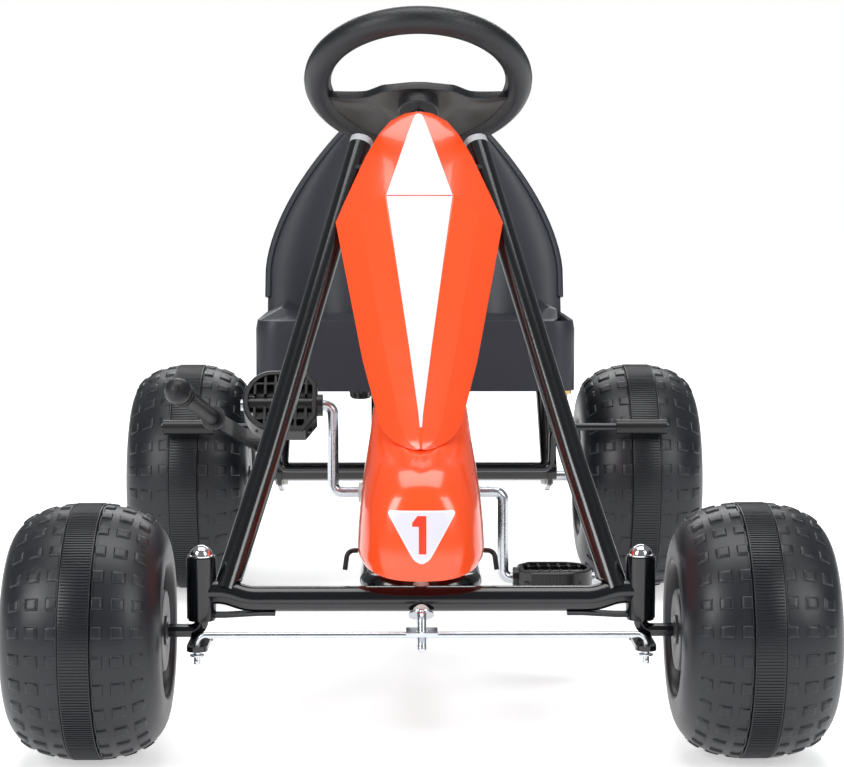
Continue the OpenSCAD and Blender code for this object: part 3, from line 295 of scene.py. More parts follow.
NYLON = uneven_material("natural_nylon", (0.72, 0.71, 0.66), 0.35, tone=0.08, grain=900, depth=0.00006)
YELLOW_ZINC = uneven_material("yellow_zinc", (0.7, 0.5, 0.17), 0.3, tone=0.4, spread=0.2, patch=200,
                              grain=600, depth=0.00006, metallic=1.0)
LABEL_RED = uneven_material("red_orange_print", (0.86, 0.05, 0.02), 0.3, tone=0.05, grain=300, depth=0.00002)
LABEL_FILL = uneven_material("pale_print", (0.72, 0.70, 0.80), 0.3, tone=0.03, grain=300, depth=0.00002)
BROWNISH = uneven_material("worn_smooth_plastic", (0.026, 0.022, 0.02), 0.28, tone=0.2, spread=0.12,
                           grain=900, dust=0.04, depth=0.00008)

FINISHES = {"frame_paint": PAINT, "wheel_plastic": WHEEL, "hub_plastic": HUB, "black_plastic": SMOOTH,
            "seat_plastic": SEAT, "hood_plastic": HOOD, "sticker": STICKER, "zinc": ZINC,
            "bright_cap": CAP_CHROME, "chain_steel": CHAIN_STEEL, "grey_plastic": GREY_PLUG,
            "bush_plastic": NYLON, "seat_bolt": YELLOW_ZINC}

for part in frame["record"]["subparts"]:
    cad = nodes[part["node"]]
    cad.data.materials.clear()
    cad.data.materials.append(FINISHES[part["material_slot"]])

# ---------------------------------------------------------------- bench tools


def finish_edit(piece, angle=30):
    """Leaves edit mode with the piece's place in its mesh and its shading smooth up to an angle."""
    if bpy.context.mode != "OBJECT":
        bpy.ops.object.mode_set(mode="OBJECT")
    bpy.ops.object.select_all(action="DESELECT")
    piece.select_set(True)
    bpy.context.view_layer.objects.active = piece
    bpy.ops.object.transform_apply(location=True, rotation=True, scale=True)
    bpy.ops.object.shade_smooth_by_angle(angle=math.radians(angle))
    return piece


def start_point(name, at):
    """A new piece of a single point, in edit mode."""
    bpy.ops.object.select_all(action="DESELECT")
    bpy.ops.mesh.primitive_plane_add(size=0.01)
    piece = bpy.context.object
    piece.name = name
    bpy.ops.object.mode_set(mode="EDIT")
    bpy.ops.mesh.select_mode(type="VERT")
    bpy.ops.mesh.select_all(action="SELECT")
    bpy.ops.mesh.merge(type="CENTER")
    bpy.ops.transform.translate(value=Vector(at))
    return piece


def draw_line(points):
    """Extrudes the chosen point along a line of points."""
    for a, b in zip(points, points[1:]):
        bpy.ops.mesh.extrude_region_move(TRANSFORM_OT_translate={"value": Vector(b) - Vector(a)})


def tidy_mesh(gap=1e-6):
    bpy.ops.mesh.select_all(action="SELECT")
    bpy.ops.mesh.remove_doubles(threshold=gap)
    bpy.ops.mesh.normals_make_consistent(inside=False)


def choose_faces(piece, test):
    """Selects, in edit mode, the faces whose middle and normal pass a test."""
    bpy.ops.mesh.select_mode(type="FACE")
    bpy.ops.mesh.select_all(action="DESELECT")
    shape = bmesh.from_edit_mesh(piece.data)
    for face in shape.faces:
        if test(face.calc_center_median(), face.normal):
            face.select_set(True)
    bmesh.update_edit_mesh(piece.data)


def turned(name, points, centre, axis=(1, 0, 0), steps=64, angle=30):
    """A turned piece: (along, radius) points spun round an axis through a centre."""
    centre, along = Vector(centre), Vector(axis).normalized()
    out = along.orthogonal().normalized()
    line = [centre + along * a + out * r for a, r in points]
    piece = start_point(name, line[0])
    draw_line(line)
    bpy.ops.mesh.select_all(action="SELECT")
    bpy.ops.mesh.spin(steps=steps, angle=2 * math.pi, center=centre, axis=along)
    tidy_mesh()
    return finish_edit(piece, angle)


def pull_row(piece, old, new):
    """Pulls the chosen row of points out to new places, leaving a band of faces behind."""
    bpy.ops.mesh.extrude_region_move()
    shape = bmesh.from_edit_mesh(piece.data)
    for vert in [v for v in shape.verts if v.select]:
        nearest = min(range(len(old)), key=lambda i: (old[i] - vert.co).length_squared)
        vert.co = new[nearest]
    bmesh.update_edit_mesh(piece.data)


def lofted(name, rows, ring=False):
    """A skin through rows of points, left in edit mode; a ring's rows close on themselves."""
    rows = [[Vector(point) for point in row] for row in rows]
    piece = start_point(name, rows[0][0])
    draw_line(rows[0])
    bpy.ops.mesh.select_all(action="SELECT")
    if ring:
        shape = bmesh.from_edit_mesh(piece.data)
        for vert in shape.verts:
            near = min((vert.co - rows[0][0]).length, (vert.co - rows[0][-1]).length)
            vert.select_set(near < 1e-6)
        shape.select_flush(False)
        bmesh.update_edit_mesh(piece.data)
        bpy.ops.mesh.edge_face_add()
        bpy.ops.mesh.select_all(action="SELECT")
    for old, new in zip(rows, rows[1:]):
        pull_row(piece, old, new)
    return piece


def face_towards(piece, direction):
    """Turns an open skin's faces towards a direction."""
    bpy.ops.mesh.select_all(action="SELECT")
    bpy.ops.mesh.normals_make_consistent(inside=False)
    shape = bmesh.from_edit_mesh(piece.data)
    total = sum((face.normal * face.calc_area() for face in shape.faces), Vector())
    if total.dot(Vector(direction)) < 0:
        bpy.ops.mesh.flip_normals()


def apply_modifier(piece, kind, **values):
    if bpy.context.mode != "OBJECT":
        bpy.ops.object.mode_set(mode="OBJECT")
    modifier = piece.modifiers.new(kind.lower(), kind)
    for key, value in values.items():
        setattr(modifier, key, value)
    bpy.context.view_layer.objects.active = piece
    bpy.ops.object.modifier_apply(modifier=modifier.name)


def joined(*pieces):
    """The pieces made one, under the first one's name."""
    bpy.ops.object.select_all(action="DESELECT")
    for piece in pieces:
        piece.select_set(True)
    bpy.context.view_layer.objects.active = pieces[0]
    bpy.ops.object.join()
    return pieces[0]


def smooth_value(keys, at, column):
    """A column of key rows at any place between them, on a smooth curve."""
    i = max(k for k in range(len(keys) - 1) if keys[k][0] <= at + 1e-9)
    before, a, b, after = keys[max(i - 1, 0)], keys[i], keys[i + 1], keys[min(i + 2, len(keys) - 1)]
    span = b[0] - a[0]
    t = (at - a[0]) / span
    slope_a = (b[column] - before[column]) / (b[0] - before[0]) * span
    slope_b = (after[column] - a[column]) / (after[0] - a[0]) * span
    return ((2 * t ** 3 - 3 * t ** 2 + 1) * a[column] + (t ** 3 - 2 * t ** 2 + t) * slope_a
            + (3 * t ** 2 - 2 * t ** 3) * b[column] + (t ** 3 - t ** 2) * slope_b)


def smooth_step(x):
    x = min(1.0, max(0.0, x))
    return x * x * (3 - 2 * x)


def mirrored_copy(piece, name):
    """A copy on the other side of the kart, with its own mesh."""
    copy = piece.copy()
    copy.data = piece.data.copy()
    copy.name = name
    bpy.context.scene.collection.objects.link(copy)
    copy.data.transform(Matrix.Scale(-1, 4, (1, 0, 0)))
    copy.data.flip_normals()
    return copy


def fit_out(piece, body, slot, material, *stands_for):
    piece.data.materials.clear()
    piece.data.materials.append(material)
    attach(piece, body)
    if stands_for:
        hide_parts(*stands_for)
    return piece


# ---------------------------------------------------------------- wheels

JOINTS = {joint["name"]: joint for joint in frame["record"]["behaviour"]["joints"]}

LIP_SHARE = 0.6
BELLY = 2.4
TREAD_ROWS = 28
ROW_STEPS = 9
BLOCK_STEPS = 4
BLOCK_HIGH = 0.0013


def tread_radius(x, radius, width):
    lip = LIP_SHARE * radius
    flat = max(0.0, 1 - min(1.0, abs(x) / (width / 2)) ** BELLY)
    return lip + (radius - lip) * flat ** (1 / BELLY)


def tread_stations(radius, width, start, stops):
    """Points on the balloon's outline at the given lengths along it from start."""
    fine = [start + (width / 2 - start) * math.sin(math.radians(90 * i / 400)) for i in range(401)]
    line = [(x, tread_radius(x, radius, width)) for x in fine]
    found, run, index = [], 0.0, 0
    for a, b in zip(line, line[1:]):
        step = math.dist(a, b)
        while index < len(stops) and run + step >= stops[index]:
            share = (stops[index] - run) / step
            found.append((a[0] + (b[0] - a[0]) * share, a[1] + (b[1] - a[1]) * share))
            index += 1
        run += step
    return found


def build_tyre(name, radius, width, centre, bore):
    """The blow-moulded wheel on the kart's left, with its blocks, seam and dished faces."""
    k = radius / 0.1
    half_band = 0.0115 * k
    base = radius - BLOCK_HIGH
    columns = [(0.0, 0.0098 * k), (0.0153 * k, 0.026 * k), (0.0312 * k, 0.0412 * k)]
    strip = 0.0022 * k
    stops = [0.0, strip, 0.006 * k, columns[0][1], 0.0125 * k, columns[1][0], 0.0188 * k, 0.0224 * k,
             columns[1][1], 0.0285 * k, columns[2][0], 0.0345 * k, 0.0378 * k, columns[2][1],
             0.045 * k, 0.049 * k, 0.053 * k, 0.057 * k, 0.061 * k, 0.064 * k]
    tread = tread_stations(base, width, half_band, stops)
    edge = width / 2
    face = [(edge - 0.0002, LIP_SHARE * radius - 0.0015), (edge, 0.565 * radius),
            (edge - 0.0006, 0.54 * radius), (edge - 0.0018, 0.523 * radius),
            (edge - 0.0045, 0.512 * radius), (edge - 0.0095, 0.505 * radius),
            (edge - 0.0105, 0.49 * radius), (edge - 0.0108, 0.42 * radius), (edge - 0.0105, 0.345 * radius),
            (edge - 0.0095, 0.33 * radius), (edge - 0.004, 0.322 * radius), (edge - 0.0026, 0.31 * radius),
            (edge - 0.0022, 0.28 * radius), (edge - 0.0026, 0.17 * radius), (edge - 0.0034, 0.135 * radius),
            (edge - 0.0034, bore)]
    outside = [(half_band - 0.0004, base - 0.0012)] + tread + face
    groove = 0.0011
    inside = [(-half_band + 0.0004, base - 0.0012), (-half_band - 0.0002, base - 0.003),
              (-half_band - groove, base - 0.003)] + \
        [(-max(x, half_band + groove), r) for x, r in tread] + [(-x, r) for x, r in face]
    line = outside[::-1] + inside
    line.append(line[0])
    piece = start_point(name, (centre[0] + line[0][0], centre[1], centre[2] + line[0][1]))
    draw_line([(centre[0] + x, centre[1], centre[2] + r) for x, r in line])
    bpy.ops.mesh.select_all(action="SELECT")
    bpy.ops.mesh.remove_doubles(threshold=1e-6)
    bpy.ops.mesh.select_all(action="SELECT")
    bpy.ops.mesh.spin(steps=TREAD_ROWS * ROW_STEPS, angle=2 * math.pi, center=centre, axis=(1, 0, 0))
    tidy_mesh()

    def x_at(length):
        return tread_stations(base, width, half_band, [length])[0][0]
    spans = [(x_at(a) if a else half_band, x_at(b)) for a, b in columns]
    strip_end = x_at(strip)

    def is_block(middle, normal):
        x = abs(middle.x - centre[0])
        y, z = middle.y - centre[1], middle.z - centre[2]
        if math.hypot(y, z) < LIP_SHARE * radius or x < half_band or normal.length == 0:
            return False
        if math.hypot(y, z) < tread_radius(x, base, width) - 0.001:
            return False
        if x < strip_end:
            return True
        row = (math.atan2(z, y) / (2 * math.pi) * TREAD_ROWS) % 1
        return row < BLOCK_STEPS / ROW_STEPS and any(a < x < b for a, b in spans)
    choose_faces(piece, is_block)
    bpy.ops.mesh.inset(thickness=0.0005, depth=BLOCK_HIGH * 0.8)
    bpy.ops.mesh.inset(thickness=0.0005, depth=BLOCK_HIGH * 0.2)
    return finish_edit(piece, 40)


def build_band(name, radius, centre):
    """The middle band and its fine cross ribs."""
    half = 0.0115 * radius / 0.1
    ribs = 252
    low = radius - 0.0007
    line = [(-half, radius - 0.004), (-half, low - 0.0003), (-half + 0.0008, low), (half - 0.0008, low),
            (half, low - 0.0003), (half, radius - 0.004)]
    piece = start_point(name, (centre[0] + line[0][0], centre[1], centre[2] + line[0][1]))
    draw_line([(centre[0] + x, centre[1], centre[2] + r) for x, r in line + line[:1]])
    bpy.ops.mesh.select_all(action="SELECT")
    bpy.ops.mesh.remove_doubles(threshold=1e-6)
    bpy.ops.mesh.select_all(action="SELECT")
    bpy.ops.mesh.spin(steps=2 * ribs, angle=2 * math.pi, center=centre, axis=(1, 0, 0))
    tidy_mesh()

    def is_rib(middle, normal):
        y, z = middle.y - centre[1], middle.z - centre[2]
        across = abs(middle.x - centre[0])
        row = (math.atan2(z, y) / (2 * math.pi) * ribs) % 1
        return across < half - 0.001 and math.hypot(y, z) > radius - 0.002 and row < 0.5
    choose_faces(piece, is_rib)
    bpy.ops.mesh.inset(thickness=0.00022, depth=0.0007)
    return finish_edit(piece, 40)


def build_wheel_hub(name, width, centre, bore):
    """Hub bush with its inner flange and the domed cap over the shaft's end, on the kart's left."""
    face = width / 2 - 0.0025
    inner = turned(name, [(-face + 0.004, bore), (-face + 0.004, 0.0112), (-face - 0.0004, 0.0115),
                          (-face - 0.0012, 0.0109), (-face - 0.0012, 0.0072), (-face - 0.002, 0.0066),
                          (-face - 0.002, bore), (-face + 0.004, bore)], centre, steps=48)
    cap = turned(name + "_cap", [(face - 0.004, 0.0), (face - 0.004, 0.0112), (face + 0.0018, 0.0115),
                                 (face + 0.0028, 0.0108), (face + 0.0029, 0.0092), (face + 0.0022, 0.0086),
                                 (face + 0.0024, 0.0078), (face + 0.0042, 0.0068), (face + 0.0049, 0.004),
                                 (face + 0.005, 0.0)], centre, steps=48)
    return joined(inner, cap)


front_centre = Vector(JOINTS["front_left_spin"]["pos_m"])
rear_centre = Vector(JOINTS["rear_left_spin"]["pos_m"])

# The wheels' parts are made once, on the kart's left at the front and at the back, and copied
MM = 0.001
STUB = 0.0053
AXLE = 0.006


def fit_wheels():
    sets = (("front", 0.1, 0.122, front_centre, STUB, ("front_wheel_left", "front_wheel_right")),
            ("rear", 0.126, 0.132, rear_centre, AXLE, ("rear_wheel_left", "rear_axle")))
    for end, radius, width, centre, bore, bodies in sets:
        tyre = build_tyre(end + "_left_tyre", radius, width, centre, 0.009)
        band = build_band(end + "_left_band", radius, centre)
        hub = build_wheel_hub(end + "_left_hub_trim", width, centre, bore)
        parts = (("tyre", tyre, "wheel_plastic", WHEEL, "inner"), ("band", band, "wheel_plastic", WHEEL, "outer"),
                 ("hub_trim", hub, "hub_plastic", HUB, "hub"))
        for what, piece, slot, material, node in parts:
            right = mirrored_copy(piece, f"{end}_right_{what}")
            fit_out(piece, bodies[0], slot, material, f"{end}_left_{node}")
            fit_out(right, bodies[1], slot, material, f"{end}_right_{node}")

# ---------------------------------------------------------------- hood

FRONT_Y = -0.393
COLUMN_UP = Vector((0, 0.5373, 0.8434))
COLUMN_AHEAD = Vector((0, -0.8434, 0.5373))


def in_metres(points):
    return [tuple(value * MM for value in point) for point in points]


def column_point(x, u, f):
    """A point in the steering column's frame, in mm: across, up the column, ahead of it."""
    return Vector((x * MM, FRONT_Y, 0.125)) + COLUMN_UP * (u * MM) + COLUMN_AHEAD * (f * MM)


# Rows up the column: [height, half width and stand of the flat middle, half width and stand of the rim]
HOOD_ROWS = [
    [108, 0.6, 45.6, 5, 43], [112, 1, 46, 13, 41], [118, 1.2, 46, 21, 37.5], [127, 1.6, 46, 27.5, 33],
    [139, 2.5, 46, 33, 28], [200, 9.7, 44, 47, 22], [335, 29, 39, 71, 18.5], [352, 27.5, 38, 65, 18.5],
    [402, 15, 29, 46, 18.5], [426, 9, 24, 34.5, 17.5], [440, 5, 20.5, 25, 16.5], [449, 2, 18, 12, 15.5]]
SHOULDER = 335
SHOULDER_LIFT = 14
SKIN_BULGE = 0.62


def hood_line(row):
    u, flat, flat_f, rim, rim_f = row
    lift = SHOULDER_LIFT if u == SHOULDER else 0
    side_f = rim_f + (flat_f - rim_f) * SKIN_BULGE
    half = [(rim, u, rim_f), ((flat + rim) / 2, u, side_f), (flat, u + lift, flat_f)]
    return [column_point(-x, v, f) for x, v, f in half] + [column_point(x, v, f) for x, v, f in half[::-1]]


def fit_hood():
    hood = lofted("upper_hood", [hood_line(row) for row in HOOD_ROWS])
    face_towards(hood, COLUMN_AHEAD)
    bpy.ops.object.mode_set(mode="OBJECT")
    apply_modifier(hood, "SOLIDIFY", thickness=0.003, offset=-1)
    apply_modifier(hood, "BEVEL", width=0.0021, segments=4, limit_method="ANGLE",
                   angle_limit=math.radians(10))
    fit_out(finish_edit(hood, 35), "frame", "hood_plastic", HOOD, "hood_upper")
    fit_nose()
    fit_sticker()
    fit_label()


# Rows up the nose: [height, foremost y, half width, y of the rim], y from the front wheels' axis
NOSE_ROWS = [
    [144, -32, 46, 40], [152, -34, 50, 48], [175, -33, 50, 54], [200, -28, 48, 62], [215, -21, 46, 66],
    [228, -5, 44, 71], [234, 9, 43, 74], [246, 31, 41, 79], [258, 41, 39.5, 83], [268, 51, 38, 87]]
CREASE_FROM = 222
CREASE_TO = 246


def nose_at(z):
    """Foremost y, half width, rim y and the section's two powers at a height."""
    share = min(1, max(0, (z - 200) / 40))
    return ([smooth_value(NOSE_ROWS, z, column) for column in (1, 2, 3)]
            + [0.75 + 0.25 * share, 0.55 + 0.45 * share])


def nose_surface(x, z, lift=0.0):
    """The point of the nose's skin at x and z, lifted off it forwards."""
    nose, half, rim, side_power, front_power = nose_at(z)
    across = min(1.0, abs(x) / half) ** (1 / side_power)
    y = rim + (nose - rim) * math.sqrt(max(0.0, 1 - across ** 2)) ** front_power
    if CREASE_FROM < z:
        run = (min(z, CREASE_TO) - CREASE_FROM) / (CREASE_TO - CREASE_FROM)
        edge = 15 * run
        y += 3.5 * smooth_step((edge + 2 - abs(x)) / 4) * smooth_step(run * 3)
    return Vector((x * MM, FRONT_Y + (y - lift) * MM, z * MM))


def fit_nose():
    heights = [144, 146.5, 150, 155, 161, 168, 175, 182, 189, 195, 200, 205, 210, 215]
    heights += [218 + 2.5 * i for i in range(14)] + [255, 261, 268]
    rows = []
    for z in heights:
        nose, half, rim, side_power, front_power = nose_at(z)
        row = []
        for i in range(45):
            a = math.pi * i / 44
            x = -half * math.copysign(abs(math.cos(a)) ** side_power, math.cos(a))
            if i in (0, 44):
                x = math.copysign(half, x)
            point = nose_surface(x, z)
            lift = 8 * smooth_step((175 - z) / 31) * abs(math.cos(a)) ** 2
            row.append(point + Vector((0, 0, lift * MM)))
        rows.append(row)
    nose = lofted("lower_hood", rows)
    face_towards(nose, (0, -1, 0))
    bpy.ops.object.mode_set(mode="OBJECT")
    apply_modifier(nose, "SOLIDIFY", thickness=0.003, offset=-1)
    fit_out(finish_edit(nose, 50), "frame", "hood_plastic", HOOD, "hood_lower")


def fit_sticker():
    """The long kite of white film down the flat middle, and the thin line across it."""
    rows = []
    keys = [
        [127, 0.9, 46.0], [139, 1.8, 46], [200, 9.0, 44], [349, 27.8, 39], [352, 27.2, 38.2],
        [402, 14.4, 29], [426, 8.4, 24], [440, 4.6, 20.5], [444, 3.2, 19.4], [446, 1.2, 18.8]]
    for u, half, f in keys:
        rows.append([column_point(half * side, u, f + 0.55) for side in (-1, -0.5, 0, 0.5, 1)])
    film = lofted("hood_sticker", rows)
    face_towards(film, COLUMN_AHEAD)
    bpy.ops.object.mode_set(mode="OBJECT")
    apply_modifier(film, "SOLIDIFY", thickness=0.0004, offset=-1)
    fit_out(finish_edit(film, 4), "frame", "sticker", STICKER, "hood_stripe")
    line = lofted("sticker_line", [[column_point(27.6 * side, u, 39.75) for side in (-1, 0, 1)]
                                   for u in (348.1, 349.1)])
    face_towards(line, COLUMN_AHEAD)
    bpy.ops.object.mode_set(mode="OBJECT")
    apply_modifier(line, "SOLIDIFY", thickness=0.0002, offset=-1)
    fit_out(finish_edit(line), "frame", "sticker", LABEL_RED)


def nose_patch(name, outline, lift, material, *stands_for):
    """A film on the nose: rows of [height, left, right] laid on its skin."""
    rows = [[nose_surface(left + (right - left) * i / 12, z, lift) for i in range(13)]
            for z, left, right in outline]
    film = lofted(name, rows)
    face_towards(film, (0, -1, 0))
    bpy.ops.object.mode_set(mode="OBJECT")
    apply_modifier(film, "SOLIDIFY", thickness=0.00022, offset=-1)
    return fit_out(finish_edit(film), "frame", "sticker", material, *stands_for)


def shield(low, high, half, corner):
    """A triangle standing on its rounded tip, as rows of [height, left, right]."""
    rows = []
    steps = 22
    for i in range(steps + 1):
        z = low + (high - low) * i / steps
        run = (z - low) / (high - low)
        wide = half * (0.17 + 0.83 * run)
        tip = min(1.0, (z - low + 0.2) / 5)
        wide *= math.sqrt(1 - (1 - tip) ** 2)
        crown = min(1.0, (high - z + 0.2) / corner)
        wide -= corner * (1 - math.sqrt(1 - (1 - crown) ** 2))
        rows.append([z, -wide, wide])
    return rows


def fit_label():
    nose_patch("label_border", shield(158, 198.5, 27.5, 4), 0.35, STICKER, "number_label")
    nose_patch("label_fill", shield(161, 196.8, 25, 3.2), 0.5, LABEL_FILL)
    nose_patch("label_one_stem", [[z, -2.2, 3.6] for z in (165.5, 172, 180, 187, 194.5)], 0.65, LABEL_RED)
    nose_patch("label_one_flag", [[186.5, -7.2, -2.2], [189.5, -7.2, -2.2], [194.5, -3.2, -2.2]],
               0.65, LABEL_RED)


# ---------------------------------------------------------------- steering wheel

WHEEL_AT = 494
RIM_MIDDLE = 89.5
RIM_HALF = 12
DISH_EDGE = 88.0  # the dished plate ends inside the ring
PLATE_EDGE = [[0, 19.6], [6, 19.5], [12, 18.6], [30, 14.5], [40, 6], [46, 0.4], [60, -6], [79.5, -13]]


def wheel_point(x, s, t):
    """A point in the wheel's plane, in mm: across, ahead, and up along the column."""
    return column_point(x, WHEEL_AT + t, s)


def plate_top(x):
    return smooth_value(PLATE_EDGE, min(79.4, abs(x)), 1)


def dish_line(x, s):
    r = math.hypot(x, s)
    return -16 + 16 * max(0.0, r - 30) / (RIM_MIDDLE - 30)


def fit_steering_wheel():
    middle = wheel_point(0, 0, 0)
    rim_middle = wheel_point(0, RIM_MIDDLE, 0)
    ring = start_point("steering_rim", rim_middle + COLUMN_UP * (RIM_HALF * MM))
    bpy.ops.mesh.select_all(action="SELECT")
    bpy.ops.mesh.spin(steps=24, angle=2 * math.pi, center=rim_middle, axis=(1, 0, 0))
    bpy.ops.mesh.select_all(action="SELECT")
    bpy.ops.mesh.remove_doubles(threshold=1e-6)
    bpy.ops.mesh.select_all(action="SELECT")
    bpy.ops.mesh.spin(steps=96, angle=2 * math.pi, center=middle, axis=COLUMN_UP)
    tidy_mesh()
    fit_out(finish_edit(ring, 60), "steering", "black_plastic", GRAINED, "steering_wheel")
    columns = [-84 + 168 * i / 56 for i in range(57)]

    def edge(x):
        return math.sqrt(max(0.0, DISH_EDGE ** 2 - x * x))
    rows = []
    for j in range(15):
        share = j / 14
        row = []
        for x in columns:
            top = min(plate_top(x), edge(x))
            if abs(x) > 79.4:
                top = -13 - (abs(x) - 79.4) * 2
            s = top + (-edge(x) - top) * share
            fold = -1.6 * smooth_step((top - 12 - s) / 5) * smooth_step((70 - abs(x)) / 30)
            ridge = 1.4 * smooth_step((abs(x) - 3) / 30) * smooth_step(share * 6)
            row.append(wheel_point(x, s, dish_line(x, s) + fold + ridge))
        rows.append(row)
    plate = lofted("steering_dish", rows)
    face_towards(plate, COLUMN_UP)
    bpy.ops.object.mode_set(mode="OBJECT")
    apply_modifier(plate, "SOLIDIFY", thickness=0.006, offset=-1)
    hub_line = [(-34, 6.2), (-34, 17), (-32.5, 18), (-17, 18), (-17, 6.2), (-34, 6.2)]
    hub = turned("steering_hub", in_metres(hub_line), middle, COLUMN_UP, steps=48)
    fit_out(finish_edit(plate, 25), "steering", "black_plastic", BROWNISH)
    fit_out(hub, "steering", "black_plastic", GRAINED)
    rows = []
    for shift, rise in ((1.2, -6.5), (1.5, -1.0), (0.9, 0.9), (-1.0, 1.7), (-7, 1.9), (-12.5, 1.4),
                        (-14, 0.2), (-14.2, -2)):
        rows.append([wheel_point(x, plate_top(x) + shift, dish_line(x, plate_top(x)) + rise)
                     for x in [-79.4 + 158.8 * i / 48 for i in range(49)]])
    bridge = lofted("steering_bridge", rows)
    face_towards(bridge, COLUMN_UP)
    bpy.ops.object.mode_set(mode="OBJECT")
    apply_modifier(bridge, "SOLIDIFY", thickness=0.0015, offset=-1)
    fit_out(finish_edit(bridge, 50), "steering", "black_plastic", GRAINED)
    pad_line = [(-13, 33), (-5, 34), (-3.4, 33), (-3, 31.5), (-3, 0), (-13, 0), (-13, 33)]
    pad = turned("wheel_pad", in_metres(pad_line), wheel_point(0, -38, 0), COLUMN_UP, steps=64)
    fit_out(pad, "steering", "black_plastic", BROWNISH, "wheel_cap")


# ---------------------------------------------------------------- seat

SEAT_FRONT = 205
SEAT_Z = 310
PAN_HALF = 167
PAN_DEPTH = 235
PAN_ROUND = 22


def back_half(v):
    return 165 - 150 * max(0.0, v - 0.2) ** 1.6


def back_surface(u, v):
    """The backrest's face: a shallow shell with bolsters curling forwards at its sides."""
    side = abs(u)
    half = back_half(v)
    forward = 46 * (1 - 0.72 * v) * smooth_step((side - 0.38) / 0.62) ** 1.5
    hollow = 5 * math.sin(math.pi * min(1, v * 1.1)) * (1 - side ** 2)
    y = SEAT_FRONT + PAN_DEPTH - 24 + 62 * v - forward + hollow
    return Vector((half * u, y, SEAT_Z - 3 + 258 * v * (1 - 0.10 * side ** 4 * v))) * MM


def pan_surface(a, b):
    """The pan's face: a across, -1 to 1; b from the front, 0 to 1."""
    side = abs(a)
    along = smooth_step((b - 0.02) / 0.1) * smooth_step((1.02 - b) * 6)
    rise = 15 * math.exp(-((side - 0.86) / 0.085) ** 2) * along
    dip = -3.0 * (1 - side ** 2) * smooth_step(b * 4)
    return rise + dip


def fit_seat():
    rows = [[back_surface(-1 + j / 20, i / 24) for j in range(41)] for i in range(25)]
    back = lofted("seat_back", rows)
    face_towards(back, (0, -1, 0))
    bpy.ops.object.mode_set(mode="OBJECT")
    apply_modifier(back, "SOLIDIFY", thickness=0.005, offset=-1)
    apply_modifier(back, "BEVEL", width=0.0018, segments=3, limit_method="ANGLE",
                   angle_limit=math.radians(60))
    fit_out(finish_edit(back, 40), "seat", "seat_plastic", SEAT, "seat_shell")
    # a raised bead follows the rim of the backrest
    path = [back_surface(-1, v / 24) for v in range(2, 24)]
    path += [back_surface(-1 + j / 20, 1) for j in range(41)]
    path += [back_surface(1, v / 24) for v in range(23, 1, -1)]
    bead = tube("seat_back_bead", path, 0.0036, 10)
    fit_out(bead, "seat", "seat_plastic", SEAT)
    fit_pan()


def tube(name, path, radius, sides=12, widen=None):
    """A round bar along a path, with rings across it and closed ends."""
    path = [Vector(point) for point in path]
    rows = []
    across = None
    for i, point in enumerate(path):
        along = (path[min(i + 1, len(path) - 1)] - path[max(i - 1, 0)]).normalized()
        if across is None:
            across = along.orthogonal().normalized()
        else:
            across = (across - along * across.dot(along)).normalized()
        other = along.cross(across)
        wide, thick = widen(i / (len(path) - 1)) if widen else (radius, radius)
        rows.append([point + across * (wide * math.cos(2 * math.pi * k / sides))
                     + other * (thick * math.sin(2 * math.pi * k / sides)) for k in range(sides)])
    piece = lofted(name, rows, ring=True)
    bpy.ops.mesh.select_all(action="DESELECT")
    bpy.ops.mesh.select_mode(type="EDGE")
    bpy.ops.mesh.select_non_manifold()
    bpy.ops.mesh.edge_face_add()
    bpy.ops.mesh.select_mode(type="VERT")
    tidy_mesh()
    return finish_edit(piece, 50)


